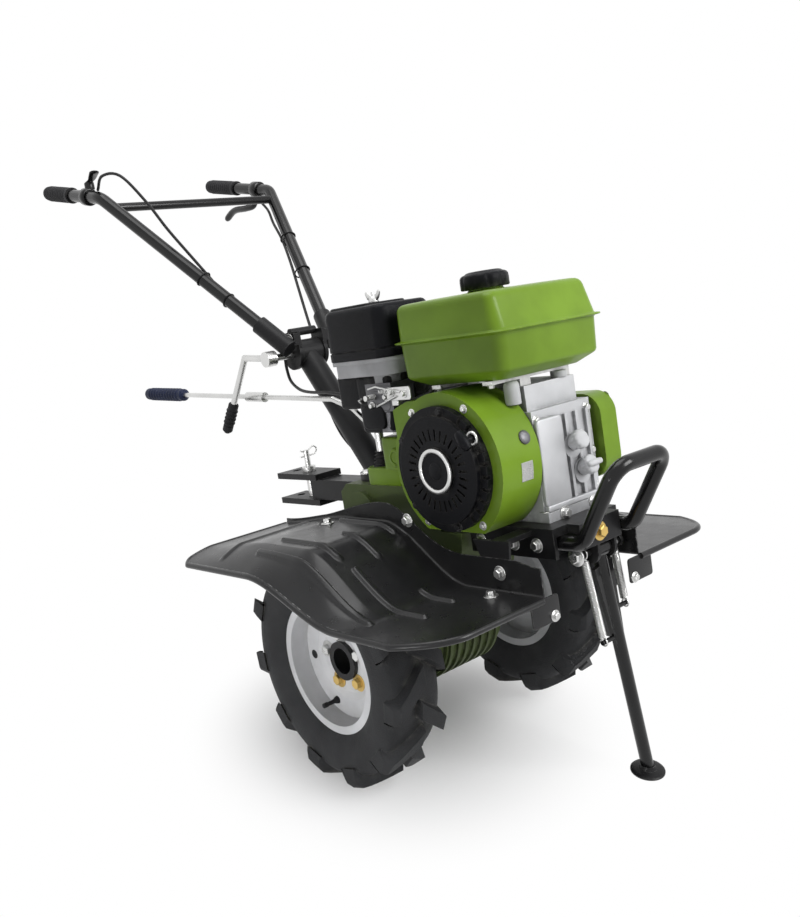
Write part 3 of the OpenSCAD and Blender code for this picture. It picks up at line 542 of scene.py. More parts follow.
print("surface tools ready")

# %% Putting a piece into the scene
SHARP = 38


def facing_out(verts, faces):
    """Turns all faces round if the volume they enclose comes out negative."""
    fans = [(f[0], f[i], f[i + 1]) for f in faces for i in range(1, len(f) - 1)]
    a, b, c = np.moveaxis(verts[np.array(fans)], 1, 0)
    volume = np.einsum("ij,ij->i", a, np.cross(b, c)).sum()
    return faces if volume > 0 else [f[::-1] for f in faces]


def put(name, parts, finish, body="chassis", replaces=(), sharp=SHARP):
    """Joins parts, each points and faces, into one mesh that rides on a body.

    An edge is drawn sharp where its faces turn by more than the angle sharp, in degrees.
    """
    verts, faces, base = [], [], 0
    for points, corners in parts:
        points = np.asarray(points, float).reshape(-1, 3)
        corners = [list(map(int, face)) for face in corners]
        verts.append(points)
        faces += [[i + base for i in face] for face in facing_out(points - points.mean(0), corners)]
        base += len(points)
    mesh = bpy.data.meshes.new(name)
    mesh.from_pydata(np.concatenate(verts).tolist(), [], faces)
    mesh.polygons.foreach_set("use_smooth", [True] * len(mesh.polygons))
    mesh.set_sharp_from_angle(angle=math.radians(sharp))
    mesh.materials.append(finish)
    piece = bpy.data.objects.new(name, mesh)
    bpy.context.collection.objects.link(piece)
    if body:
        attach(piece, body)
    if replaces:
        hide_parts(*replaces)
    print(name, "points:", base, "faces:", len(faces))
    return piece


print("sharp from", SHARP, "degrees")


# %% [markdown]
# ## Tyres
# The tyres are small field tyres: a smooth carcass with tall slanted lugs that meet in an arrow
# at the middle and run out over the shoulder. The carcass is a turned form, and each lug is a
# bar of trapezoid section that leans from the shoulder to the middle. The lugs sink into the
# carcass, as moulded ones do, so the mesh stays light.

# %% Tyres
AXLE = np.array([SHIFT_X - 60.0, 0.0, AXLE_HIGH]) * MM
TYRE_MID = 0.223
LUGS, LUG_LEAD, LUG_SINK = 11, 0.30, 0.005
LUG_TOP, LUG_DROP, LUG_OUTER, LUG_LONG = 0.2045, 0.0155, 0.0548, 0.062
CARCASS = np.array(
    [
        (0.1065, 0.031), (0.1085, 0.0335), (0.116, 0.0375), (0.124, 0.0445),
        (0.136, 0.0502), (0.15, 0.0525), (0.164, 0.0522), (0.176, 0.0495),
        (0.184, 0.0445), (0.1875, 0.036), (0.189, 0.018), (0.189, 0.0),
    ]
)
INSIDE = np.array(
    [
        (0.1065, -0.024), (0.14, -0.044), (0.176, -0.04), (0.182, 0),
        (0.176, 0.04), (0.14, 0.044), (0.1065, 0.024),
    ]
)


def lugs(side):
    """Lugs of one half tyre: sections along the lug, a trapezoid of six points in each.

    The lug goes from the shoulder, s = 0, to just past the middle, s = 1. Its angle runs ahead by
    a steady share of s, its top is highest in the middle, and its ends lean in.
    """
    s = np.array([0.0, 0.05, 0.16, 0.3, 0.5, 0.72, 0.94, 1.0])[:, None]
    across = np.array([-20.5, -18.0, -14.5, 14.5, 18.0, 20.5])[None, :] * MM
    lift = np.array([0.0, 0.55, 1.0, 1.0, 0.55, 0.0])[None, :]
    y = side * (LUG_OUTER - LUG_LONG * np.clip(s * 1.12 - 0.08, 0, 1))
    top = LUG_TOP - LUG_DROP * np.clip(1 - s / 0.18, 0, 1) ** 1.3
    foot = np.interp(np.abs(y), CARCASS[:5:-1, 1], CARCASS[:5:-1, 0]).clip(0.174) - LUG_SINK
    end_lean = 1 - 0.3 * (s > 0.97)
    r = foot + (top - foot) * lift * end_lean
    turns = np.arange(LUGS)[:, None, None] * 2 * np.pi / LUGS + (side > 0) * np.pi / LUGS
    angle = turns + LUG_LEAD * s[None] + across[None] / 0.2
    r, y = np.broadcast_to(r, angle.shape), np.broadcast_to(y, angle.shape)
    return np.stack([r * np.cos(angle), y, r * np.sin(angle)], -1)


for side, sign in SIDES:
    middle = AXLE + np.array([0, sign * TYRE_MID, 0])
    outline = np.concatenate([CARCASS, CARCASS[-2::-1] * (1, -1)])
    points, faces = turned(np.concatenate([outline, INSIDE, outline[:1]]), middle, LEFT, sides=96)
    parts = [(points, faces[:-2])]
    for half in BOTH:
        parts += [rings(block + middle) for block in lugs(half)]
    put(f"{side}_tyre_lugged", parts, tyre_rubber, f"{side}_wheel", (f"{side}_tyre",))

# %% [markdown]
# ## Fenders
# The fenders are black pressed sheets. Long beads stiffen them, a step runs across near the
# back, and the outer edge is rolled round a wire. The sheet is one grid: its height is the crown,
# which falls towards the front, and an outer margin that droops. A bead adds a smooth ridge where
# a point is near the bead's line. The other fender is the same grid on the other side.

# %% Fender sheet
CROWN_HI = BODY_AXLE + 60 * math.sin(NOSE_UP) + 218.0
CROWN_FALL, TAIL_FALL, EDGE_UNDER, EDGE_FALL = 94.0, 20.0, 34.0, 63.0
FENDER_IN, FENDER_OUT, CROWN_END = 114.0, 352.0, 285.0
FENDER_BACK, FENDER_FRONT, TAIL_R, NOSE_R = -329.0, 320.0, 26.0, 84.0
SHEET, BEND, ROLL_R, ROLL_UNDER = 2.0, 4.0, 5.2, 3.6
SHEET_IN, SHEET_OUT = FENDER_IN + SHEET, FENDER_OUT - 3
BEADS = (
    (-121, 151, 310), (-117, 31, 260), (63, 209, 252), (-31, 50, 196), (132, 196, 182), (-123, 20, 132),
)
BEAD_HALF, BEAD_HIGH = 7.0, 5.0
STEP_X, STEP_HIGH = -226.0, 3.5


def ease(x, a, b):
    """Rises smoothly from 0 to 1 while x goes from a to b."""
    t = np.clip((x - a) / (b - a), 0, 1)
    return t * t * (3 - 2 * t)


def crown_height(x):
    """The crown falls 94 mm from its top to the front, and 20 mm to the back."""
    return CROWN_HI - CROWN_FALL * ease(x, -20, 165) - TAIL_FALL * ease(-x, 130, -FENDER_BACK)


def edge_height(x):
    """The outer edge lies 34 mm under the crown at the back and 97 mm at the front."""
    return CROWN_HI - EDGE_UNDER - EDGE_FALL * ease(x, -110, 115)


def fender_height(x, y):
    """Crown up to CROWN_END, then a droop that grows with the power 1.4 towards the edge."""
    share = np.clip((y - CROWN_END) / (FENDER_OUT - 2 - CROWN_END), 0, 1) ** 1.4
    return crown_height(x) + (edge_height(x) - crown_height(x)) * share


def bead_lift(x, y):
    """Height of the pressed ridges: a smooth hump across each bead's line, and the step's."""
    lift = STEP_HIGH * (1 - ease(np.abs(x - STEP_X - 0.1 * (y - 230)), 3, 10)) * ease(y, 122, 134)
    lift = lift * (1 - ease(y, 322, 336))
    for start, end, line in BEADS:
        off = np.hypot(x - np.clip(x, start, end), y - line)
        lift = np.maximum(lift, BEAD_HIGH * (1 - ease(off, 0.55 * BEAD_HALF, BEAD_HALF)))
    return lift


def nose_x(y):
    """Front edge of the sheet: straight, with a rounded outer corner."""
    return FENDER_FRONT - NOSE_R * np.clip((y - FENDER_OUT + NOSE_R) / NOSE_R, 0, 1) ** 2.2


def tail_x(y):
    """Back edge of the sheet, with a rounded outer corner."""
    return FENDER_BACK + TAIL_R * np.clip((y - FENDER_OUT + TAIL_R) / TAIL_R, 0, 1) ** 2.2


def flange_height(x):
    """Height of the upright flange along the inner edge: low at the back, 52 mm at the front."""
    return 8 + 26 * ease(x, -200, -20) + 18 * ease(x, 60, 165) - 8 * ease(x, 260, FENDER_FRONT)


def fender_points(sign):
    """The sheet's upper skin as a grid, then its lower skin one sheet's thickness behind it.

    The columns go down the flange, round a bend of radius BEND, and out over the sheet. The
    lower skin leaves the upper one sideways at the flange, downwards at the sheet.
    """
    a = np.linspace(0, np.pi / 2, 6)
    wall = np.linspace(1, 0, 8)[:-1]
    flat = np.linspace(SHEET_IN + BEND, SHEET_OUT, 120)[1:]
    none = np.zeros(len(flat))
    y = np.concatenate([0 * wall + SHEET_IN, SHEET_IN + BEND * (1 - np.cos(a)), flat])
    lift = np.concatenate([0 * wall + BEND, BEND * (1 - np.sin(a)), none])
    share = np.concatenate([wall, 0 * a, none])
    side = np.concatenate([0 * wall + 1, np.cos(a), none])
    down = np.concatenate([0 * wall, np.sin(a), none + 1])
    t = np.linspace(0, 1, 230)[:, None]
    x = tail_x(y) + (nose_x(y) - tail_x(y)) * t
    z = fender_height(x, y) + bead_lift(x, y) + lift + share * (flange_height(x) - BEND)
    upper = np.stack([x, np.broadcast_to(sign * y, x.shape), z], -1)
    return upper, upper - SHEET * np.stack([0 * y, sign * side, down], -1)


def edge_roll(sign):
    """Centre line of the rolled edge: round the tail corner, along the outside, round the nose."""
    lead = np.linspace(SHEET_IN + BEND, SHEET_OUT, 60)
    side_x = np.linspace(tail_x(SHEET_OUT), nose_x(SHEET_OUT), 120)[1:-1]
    x = np.concatenate([tail_x(lead), side_x, nose_x(lead[::-1])])
    y = np.concatenate([lead, 0 * side_x + SHEET_OUT, lead[::-1]])
    return np.stack([x, sign * y, fender_height(x, y) - ROLL_UNDER], -1)


def sheet_ends(rows, cols):
    """Faces that close the sheet's first and last row, between its upper and its lower skin."""
    j = np.arange(cols - 1)
    back = np.stack([j, j + 1, 2 * cols - 2 - j, 2 * cols - 1 - j], -1)
    return back.tolist() + (back[:, ::-1] + (rows - 1) * 2 * cols).tolist()


for side, sign in SIDES:
    upper, lower = fender_points(sign)
    rows, cols = upper.shape[:2]
    skin = np.concatenate([upper, lower[:, ::-1]], axis=1)
    faces = grid_faces(rows, 2 * cols, wrap=True).tolist() + sheet_ends(rows, cols)
    roll = wire(edge_roll(sign), ROLL_R, away=turn_up((0.3, 0.1 * sign, 1)))
    parts = [(stand_up(skin), faces), roll]
    put(f"{side}_fender_sheet", parts, fender_black, replaces=(f"{side}_fender",), sharp=60)

# %% [markdown]
# ## Fuel tank
# The tank is two pressed shells that meet in a seam flange. The lower shell goes straight down
# and then in to a smaller floor, the upper one leans in a little and has a low crown. Stacked
# outlines of a rounded rectangle, each with its own inset and height, are such a pressing.

# %% Fuel tank
TANK_MIDDLE, TANK_HALF = (169.0, 23.0), (122.0, 127.0)
TANK_LAYERS = (
    (60, 658, 12), (40, 658, 14), (36, 658.6, 15), (33, 660.2, 16), (15, 671, 18), (12.4, 673.4, 18.5),
    (11, 677, 19), (9, 727, 20), (7, 729.3, 22), (0, 730.2, 27), (-1, 731.6, 28), (0, 733, 27),
    (7, 733.8, 22), (8.6, 736, 20), (13.6, 780, 17), (15, 785, 16.5), (18, 789, 15), (22.5, 791.4, 12),
    (30, 792.4, 9), (60, 793.6, 6), (100, 794.4, 3), (116, 794.6, 1),
)
LEAN_BACK, LEAN_FROM, LEAN_TO = 8.0, 736, 790
FILLER = np.array([160.0, 20.0, 788.0])


def pressing(layers, middle, half, lean=0.0):
    """One rounded rectangle for each inset, height and corner radius, joined into a skin.

    With a lean, the upper outlines move back with height, so the front wall leans in more.
    """
    skin = []
    for inset, z, r in layers:
        flat = round_rect(half[0] - inset, half[1] - inset, r, 10) + middle
        flat[:, 0] -= lean * ease(z, LEAN_FROM, LEAN_TO)
        skin.append(np.column_stack([flat, np.full(len(flat), z)]))
    return rings(stand_up(skin))


neck = lathe([(31, 0), (31, 6), (28.5, 8), (28.5, 11)], FILLER, UP, 40)
tank = [pressing(TANK_LAYERS, TANK_MIDDLE, TANK_HALF, LEAN_BACK), neck]
put("fuel_tank_shell", tank, lime_paint, replaces=("fuel_tank",), sharp=50)

# %% [markdown]
# ## Coil springs
# Two pull springs hold the stand's leg down or folded. A coil is a bar along a helix: the point
# goes round the spring's axis at a steady rate while it climbs by one pitch a turn, and at each
# end the wire leaves the coil to make an eye.

# %% Stand springs
STAND_PIVOT = stand_up((289, 55, 368))
FOOT = np.array([SHIFT_X + 307, 153, 6]) * MM
LEG_DOWN = unit(FOOT - STAND_PIVOT)
WIRE_R, COIL_R, PITCH = 1.25 * MM, 5.4 * MM, 2.8 * MM
BOLT_EYE, PEG_EYE = 8.4 * MM, 6.4 * MM
SPRINGS = ((-1, 165), (1, 115))


def eye(centre, r, toward, turns=0.92):
    """Open ring round a pin along Y, whose gap faces the coil."""
    a = np.linspace(0, 2 * np.pi * turns, 26)[:, None]
    return centre + r * (np.cos(a) * toward + np.sin(a) * np.cross(toward, (0, 1, 0)))


def spring_path(side, reach):
    """Eye on the bolt, coil, eye on the peg, in one row of points."""
    top = STAND_PIVOT + np.array([0, side * 38, 0]) * MM
    peg = STAND_PIVOT + LEG_DOWN * reach * MM + np.array([0, side * 36, 0]) * MM
    down = unit(peg - top)
    first = unit(np.cross(down, (0, 1, 0)))
    second = np.cross(down, first)
    start, end = 0.012, np.linalg.norm(peg - top) - 0.0095
    turns = int((end - start) / PITCH)
    a = np.linspace(0, 2 * np.pi * turns, 14 * turns)[:, None]
    along = start + (end - start) * a / a[-1]
    coil = top + down * along + COIL_R * (np.cos(a) * first + np.sin(a) * second)
    flat = unit(down * (1, 0, 1))
    return np.concatenate([eye(top, BOLT_EYE, flat)[::-1], coil, eye(peg, PEG_EYE, -flat)])


springs = [bar(spring_path(*spring), WIRE_R, sides=8, away=(0.05, 1, 0.02)) for spring in SPRINGS]
put("stand_coil_springs", springs, zinc, "stand", ("stand_springs",))

# %% [markdown]
# ## Control cables
# Two sheathed cables run from the levers down the handlebar: one to the carburettor and one to
# the drive. A sheathed cable is a stiff cord that leaves a lever and goes back into the machine,
# and ties hold it to the tube. Each crosses the handlebar's pivot, where it bends; it is one bar
# that rides on neither body.

# %% Control cables
THROTTLE = (
    (-700, -196, 1132), (-650, -205, 1150), (-600, -190, 1140), (-560, -165, 1080), (-530, -146, 1020),
    (-500, -122, 960), (-470, -105.4, 911), (-430, -84, 845), (-390, -62, 795), (-362, -46, 760),
    (-350, -42, 735), (-346, -44, 710), (-330, -50, 685), (-290, -60, 668), (-240, -70, 662),
    (-180, -76, 660), (-120, -74, 652), (-75, -68, 646), (-53, -66, 645),
)
CLUTCH = (
    (-700, 200, 1090), (-660, 190, 1062), (-610, 164, 1026), (-560, 145.1, 983.2), (-510, 122, 930),
    (-460, 96, 870), (-420, 76, 815), (-385, 58, 775), (-360, 46, 750), (-350, 42, 735), (-350, 42, 705),
    (-352, 42, 660), (-345, 42, 610), (-320, 42, 560), (-280, 42, 525), (-240, 42, 510), (-212, 42, 506),
)
SHEATH_R = 3.0 * MM
for cable, route in (("throttle", THROTTLE), ("clutch", CLUTCH)):
    path = smooth_path(stand_up(route), 6)
    piece = put(f"{cable}_cable", [bar(path, SHEATH_R, sides=10)], cable_sheath, None)
    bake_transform(piece)
    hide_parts(f"{cable}_cable_low", f"{cable}_cable_high")

# %% [markdown]
# ## Grips
# The rubber grips are sleeves with finger ribs and a round closed end. They are turned forms:
# the radius wanders in and out along the handle.

# %% Grips
ARM_LOW, ARM_BEND = np.array([-316.0, 55.0, 752.0]), np.array([-669.0, 208.0, 1110.0])
BAR_BACK = np.array([-math.cos(NOSE_UP), 0.0, math.sin(NOSE_UP)])
BAR_LONG, GRIP_LONG, GRIP_CAP = 262.0, 125.0, 5.0
RIB_PITCH = 9.0


def grip_profile():
    """Radius against length: a flange at the front, then ribs as a raised cosine, then a dome."""
    s = np.linspace(0, GRIP_LONG + GRIP_CAP, 160)
    ribs = 0.5 + 0.5 * np.cos(2 * np.pi * s / RIB_PITCH)
    r = 15.4 + 1.3 * ribs * ease(s, 14, 20) * (1 - ease(s, 112, 118))
    r = r + 1.5 * (1 - ease(s, 5, 11))
    dome = np.clip((s - GRIP_LONG + 6) / (GRIP_CAP + 6), 0, 1)
    r = r * np.sqrt(np.clip(1 - dome**2.5, 0.0, 1)) + 0.05
    return np.column_stack([r, s])


parts = []
for sign in BOTH:
    start = ARM_BEND * (1, sign, 1) + (BAR_LONG - GRIP_LONG) * BAR_BACK
    parts.append(lathe(grip_profile(), start, BAR_BACK, 40))
put("handlebar_grips", parts, grip_rubber, "handlebar", ("grips",), sharp=70)

# %% [markdown]
# ## Hardware tools
# Bolts, plates and rings come back all over the machine, so each is a small function. A bolt is
# two turned outlines: a head with six sides and a washer with many. A soft block is a stack of
# rounded rectangles whose inset follows a quarter circle at both ends, as on a moulded part.

# %% Bolts, blocks and rings
HEX_HEAD = np.array([(1.0, 0.16), (1.0, 0.82), (0.86, 1.0)])
WASHER = np.array([(1.5, 0.0), (1.56, 0.05), (1.56, 0.13), (1.5, 0.18)])
FACE_UP, FACE_SIDE, FACE_AHEAD = (0, 1, 2), (0, 2, 1), (1, 2, 0)


def bolts(spots, flats=13.0, high=8.0, level=True):
    """Hexagon bolts at (place, axis) pairs; level ones are given in the level body, in millimetres."""
    scale = np.array([flats / math.sqrt(3), high]) * MM
    parts = []
    for place, axis in spots:
        spot, way = (stand_up(place), turn_up(axis)) if level else (place, axis)
        parts += [turned(HEX_HEAD * scale, spot, way, 6), turned(WASHER * scale, spot, way, 28)]
    return parts


def soft_block(middle, half, r, edge, order=FACE_UP):
    """Block with round corners r and rounded edges; order names its outline's axes, then its stack's."""
    a = np.linspace(0, np.pi / 2, 4)
    inset = edge * np.concatenate([1 - np.sin(a), 1 - np.cos(a)])
    level = np.concatenate([-half[2] + edge * (1 - np.cos(a)), half[2] - edge * (1 - np.sin(a))])
    outlines = [round_rect(half[0] - i, half[1] - i, max(r - i, 0.3), 6) for i in inset]
    stack = np.array([np.column_stack([o, np.full(len(o), h)]) for o, h in zip(outlines, level)])
    points = np.empty_like(stack)
    points[..., list(order)] = stack
    return rings(stand_up(points + middle))


def loop_ring(outline, place, axis, sides=48):
    """Ring: a closed outline of (radius, height) pairs carried round an axis, with no end caps."""
    points, faces = lathe(np.concatenate([outline, outline[:1]]), place, axis, sides)
    return points, faces[:-2]


def ring_outline(r, h, small, n=10):
    """Round outline of a wire ring: a circle of radius small about (r, h)."""
    a = np.linspace(0, 2 * np.pi, n, endpoint=False)
    return np.column_stack([r + small * np.cos(a), h + small * np.sin(a)])


def knob(profile, place, axis, lobes, depth, sides=96):
    """Turned form in the level body whose radius dips between lobes, as on a hand knob."""
    points, faces = lathe(profile, place, axis, sides)
    grid = points.reshape(len(profile), sides, 3)
    centre = grid.mean(1, keepdims=True)
    a = np.linspace(0, 2 * np.pi, sides, endpoint=False)[None, :, None]
    dip = np.array(depth, float)[:, None, None] * (0.5 - 0.5 * np.cos(lobes * a)) ** 4
    return (centre + (grid - centre) * (1 - dip)).reshape(-1, 3), faces


def helix(start, end, first, second, r, a):
    """Line from start to end that goes round its axis at radius r through the angles a."""
    a = a[:, None]
    return np.linspace(start, end, len(a)) + r * (np.cos(a) * first + np.sin(a) * second)


print("hardware tools ready")

# %% [markdown]
# ## Recoil starter
# The black cover carries a bright ring round a bare dished centre, a pull handle in a guide at
# its upper front, and small bolts round its rim. The slots are cut in the solid already.

# %% Starter trim
CRANK = np.array([145.0, 0.0, 531.0])
COVER_FACE, PULL_R, PULL_TURN = -132.0, 96.0, 31.5


def round_crank(r, degrees, y):
    """Point at radius r round the crankshaft, at an angle from straight ahead."""
    a = math.radians(degrees)
    return CRANK + (r * math.cos(a), y, r * math.sin(a))


centre_ring = [(29, 0), (29.4, 2.2), (31, 3.2), (34.5, 3.2), (36.2, 2.2), (36.6, 0)]
put("starter_ring", [loop_ring(centre_ring, CRANK + (0, COVER_FACE, 0), RIGHT)], zinc)
dish = [(28.6, 0), (28.2, 1.2), (24, 0.9), (14, 0.6), (13, 1.6), (6, 2.4), (0.4, 2.6)]
pull = [round_crank(PULL_R, turn, y) for turn, y in ((22, -139), (27, -141), (36, -141), (41, -139))]
pull_r = np.interp(np.arange(19), [0, 2, 9, 16, 18], [3, 7.5, 9, 7.5, 3])
starter = [
    lathe(dish, CRANK + (0, COVER_FACE, 0), RIGHT),
    wire(smooth_path(pull, 6), pull_r, away=turn_up((1, 0, 0.6))),
    lathe([(6, 0), (4.5, 8), (4, 16)], round_crank(PULL_R, PULL_TURN, -122), RIGHT, 20),
]
put("starter_dish_and_handle", starter, black_plastic)
guide = loop_ring(ring_outline(9, 0, 2.6), round_crank(PULL_R, PULL_TURN, -122.5), RIGHT, 32)
put("starter_rope_guide", [guide], zinc)
rim_bolts = [(round_crank(93, turn, -119.5), RIGHT) for turn in (-77, -140, 150, 80)]
put("starter_bolts", bolts(rim_bolts, 9, 6), black_satin)

# %% [markdown]
# ## Shroud trim
# On the front of the shroud sit a grey blanking plug and a small bare plate that follows the
# curve. The plate is a thin curved box: the same four corners at a row of angles.

# %% Shroud trim
PLUG_TURN = 17.5
plug_form = [(11, -1), (11, 2), (9.5, 3.6), (5, 4.4), (0.4, 4.6)]
plug_way = round_crank(1, PLUG_TURN, 0) - CRANK
put("shroud_plug", [lathe(plug_form, round_crank(120, PLUG_TURN, -46), plug_way, 32)], carb_metal)
plate_corners = ((119.5, -66), (120.9, -66), (120.9, -41), (119.5, -41))
plate = [[round_crank(r, turn, y) for r, y in plate_corners] for turn in np.linspace(-14, 0, 9)]
put("shroud_plate", [rings(stand_up(plate))], zinc)
shroud_bolts = [(round_crank(109, turn, -107.5), RIGHT) for turn in (-55, -125, 125, 58)]
put("shroud_bolts", bolts(shroud_bolts, 8, 5), zinc)

# %% [markdown]
# ## Fuel cap and tank fixings
# The cap is a low hand knob with broad, shallow flutes. Two round pillars and four bolts carry
# the tank's brackets.

# %% Fuel cap
cap_form = [
    (38, 0), (39.6, 1.5), (39.6, 14), (39, 19), (37, 22),
    (34, 23.6), (31, 24.4), (28, 26.4), (24, 27.4), (0.4, 28.2),
]
cap_flutes = [0.025, 0.045, 0.045, 0.045, 0.035, 0.012, 0, 0, 0, 0]
cap = knob(cap_form, FILLER + (0, 0, 10), UP, 10, cap_flutes)
put("fuel_cap_fluted", [cap], black_plastic, replaces=("fuel_cap",), sharp=50)
tall = [(12, 0), (12.5, 2), (12.5, 30), (11, 34), (9, 36), (0.4, 36.4)]
short = [(12, 0), (12.5, 2), (12.5, 9), (11, 11), (0.4, 12)]
pillars = [lathe(tall, (233, -30, 615.5), UP, 32), lathe(short, (233, 84, 640), UP, 32)]
put("tank_pillars", pillars, grey_plastic)
tank_bolts = [((x, y, 652.3), DOWN) for x in (110, 224) for y in (-64, 100)]
put("tank_bolts", bolts(tank_bolts, 10, 6), zinc)

# %% [markdown]
# ## Air filter
# The cover is a moulded box with soft edges, a parting groove near its foot, and a raised
# panel at the back of its top. A wing nut holds it. The cover is again a stack of outlines.

# %% Air filter cover
FILTER_MIDDLE, FILTER_HALF = (-48.0, -42.0), (84.0, 62.0)
COVER_LAYERS = (
    (4, 713.2, 24), (1, 713.4, 26), (0, 714.6, 27), (0, 726.6, 27), (0.6, 727.6, 27), (1.9, 728, 26),
    (1.9, 729.4, 26), (0.6, 729.8, 27), (0.2, 731, 27), (1.6, 780, 25), (2, 790, 24), (3.2, 795.5, 23),
    (6, 799.4, 21), (10, 801.2, 18), (30, 801.8, 12), (58, 802, 3),
)
NUT = np.array([*FILTER_MIDDLE, 805.0])
panel = soft_block((-68, -42, 801), (54, 48, 4.6), 14, 4)
box = [pressing(COVER_LAYERS, FILTER_MIDDLE, FILTER_HALF), panel]
put("air_filter_box", box, black_plastic, replaces=("air_filter_cover",), sharp=50)

wing_nut = [
    lathe([(9, 0), (9.4, 1), (8, 9), (5, 11), (3.6, 11.4)], NUT, UP, 28),
    lathe([(3, 8), (3, 17), (2.4, 18.4)], NUT, UP, 16),
]
wing = smooth_path([(0, 0, 5), (8, 0, 8), (14, 0, 13), (18, 0, 19)], 5)
wing_r = np.interp(np.arange(len(wing)), [0, 8, len(wing) - 1], [4.5, 5.5, 3.5])
for sign in BOTH:
    points, faces = bar(wing * (sign, 1, 1), wing_r, 14, (0, 1, 0.1))
    wing_nut.append((stand_up(points * (1, 0.4, 1) + NUT), faces))
put("filter_wing_nut_formed", wing_nut, zinc, replaces=("filter_wing_nut",), sharp=50)

# %% [markdown]
# ## Carburettor
# Under the filter hang the float bowl with its drain bolt, the choke lever, the idle screw with
# its spring and the bright control plate with two rods. A fuel hose comes down from the tank.

# %% Carburettor details
BOWL = np.array([-18.0, -62.0, 586.0])
ROD_AWAY = (0.1, 0.3, 1)
bowl_form = [(6, -1.5), (18, -1), (22.5, 2), (24.6, 9), (25, 34), (27.4, 35), (27.4, 40), (24, 41)]
flange = soft_block((-18, -86, 640), (26, 17, 3), 8, 1.2, FACE_SIDE)
put("carburettor_bowl", [lathe(bowl_form, BOWL, UP, 40), flange], carb_metal)
idle_turns, pull_turns = np.linspace(0, 12 * np.pi, 72), np.linspace(0, 63, 120)
linkage = [
    wire([(-52, -70, 656), (-60, -72, 654), (-72, -80, 646), (-74, -88, 640)], [3, 3, 3, 4.5], 12),
    wire(helix((-30, -89, 648), (-30, -105, 648), AHEAD, UP, 4.4, idle_turns), 0.8, 6),
    lathe([(2.4, 0), (2.4, 17), (5, 17.5), (5, 21), (4, 21.6)], (-30, -88, 648), RIGHT, 18),
    soft_block((44, -96, 652), (30, 11, 1.6), 5, 0.7, FACE_SIDE),
    soft_block((30, -90, 640), (8, 6, 8), 2, 1),
    wire([(-40, -92, 662), (-10, -99, 666), (20, -99.5, 660), (52, -99, 655)], 1.8, 10, ROD_AWAY),
    wire([(-50, -66, 645), (-20, -94, 632), (20, -100, 642), (40, -99.5, 648)], 1.8, 10, ROD_AWAY),
    wire(helix((0, -101, 657), (40, -101, 657), LEFT, UP, 2.8, pull_turns), 0.7, 6),
]
plate_spots = ((-38, -89.2, 633), (2, -89.2, 647), (60, -97.6, 652), (28, -97.6, 655))
linkage += bolts([(spot, RIGHT) for spot in plate_spots], 8, 6) + bolts([(BOWL + DOWN, DOWN)], 12, 8)
put("carburettor_linkage", linkage, zinc)
hose = smooth_path([(84, -58, 662), (84, -60, 648), (60, -76, 638), (30, -84, 634), (14, -78, 636)], 8)
put("fuel_hose", [wire(hose, 4, 14)], cable_sheath)

# %% [markdown]
# ## Crankcase fittings
# The filler plugs are ribbed caps that lean forward from their bosses, the lower one with a
# cross handle. Bolts hold the foot and the cover.

# %% Plugs and engine bolts
PLUG_LEAN = math.radians(70)
PLUGS = np.array([(248.0, 63.0, 532.0), (248.0, 79.0, 488.0)])
lean = np.array([math.sin(PLUG_LEAN), 0.0, math.cos(PLUG_LEAN)])
plug_form = [(12.6, 12.5), (12.6, 23), (15.4, 24), (16, 26), (16, 32), (14.6, 35), (11, 36.6), (0.4, 37)]
plugs = [knob(plug_form, place, lean, 12, [0, 0, 0.05, 0.08, 0.08, 0.04, 0, 0], 72) for place in PLUGS]
cross = [PLUGS[1] + 40 * lean + (0, y, 0) for y in (-17, -15, -8, 0, 8, 15, 17)]
plugs.append(wire(cross, [2.5, 4.5, 5, 5.5, 5, 4.5, 2.5], 14, turn_up(UP)))
put("oil_plug_caps", plugs, grey_plastic, replaces=("oil_plugs",), sharp=50)
foot_bolts = [((251.5, y, 441), UP) for y in (-9, 112)] + [((262, y, 433), AHEAD) for y in (20, 92)]
cover_bolts = [((254, y, z), AHEAD) for y in (-9, 113) for z in (455, 515, 585)]
put("crankcase_bolts", bolts(foot_bolts, 13, 9) + bolts(cover_bolts, 10, 6), zinc)

# %% [markdown]
# ## Spark plug and silencer
# The cylinder leans back, so its plug points to the rear, with a rubber cap and a lead that goes
# under the tank. The silencer's shield has rows of pressed louvres: thin upright blocks.

# %% Spark plug and silencer louvres
CYLINDER_LEAN = math.radians(-65)
HEAD = np.array([-59.8, 22.0, 626.6])
out = np.array([math.sin(CYLINDER_LEAN), 0.0, math.cos(CYLINDER_LEAN)])
plug_cap = [(7, 0), (9, 3), (9, 14), (8, 15), (9, 16), (9, 30), (11, 33), (11, 40), (8, 44), (3, 46)]
lead = [HEAD + 38 * out, HEAD + 38 * out + (-4, -16, 12)]
lead += [(-70, -16, 668), (-30, -20, 676), (20, -16, 664), (60, -14, 648)]
put("spark_plug_lead", [lathe(plug_cap, HEAD, out, 28), wire(smooth_path(lead, 8), 3.4, 12)], cable_sheath)
rows_x, rows_y = np.linspace(-108, 10, 8), np.linspace(52, 122, 5)
louvres = [soft_block((x, 141, 730), (4.5, 30, 1.8), 3, 1.2, FACE_SIDE) for x in rows_x]
louvres += [soft_block((-129, y, 748), (4, 18, 1.8), 3, 1.2, FACE_AHEAD) for y in rows_y]
louvres += [soft_block((x, 87, 777), (4.5, 38, 1.6), 3, 1.2) for x in rows_x]
tail_lip = [(11.6, 0), (12.4, 4), (11.4, 8), (8.6, 8), (8.6, 0)]
louvres.append(loop_ring(tail_lip, (-150, 128, 713.6), (-30, 10, -8), 28))
put("silencer_louvres", louvres, hot_steel)

# %% [markdown]
# ## Belt cover
# The belt cover has a pressed panel on its flat side and screws round its edge.

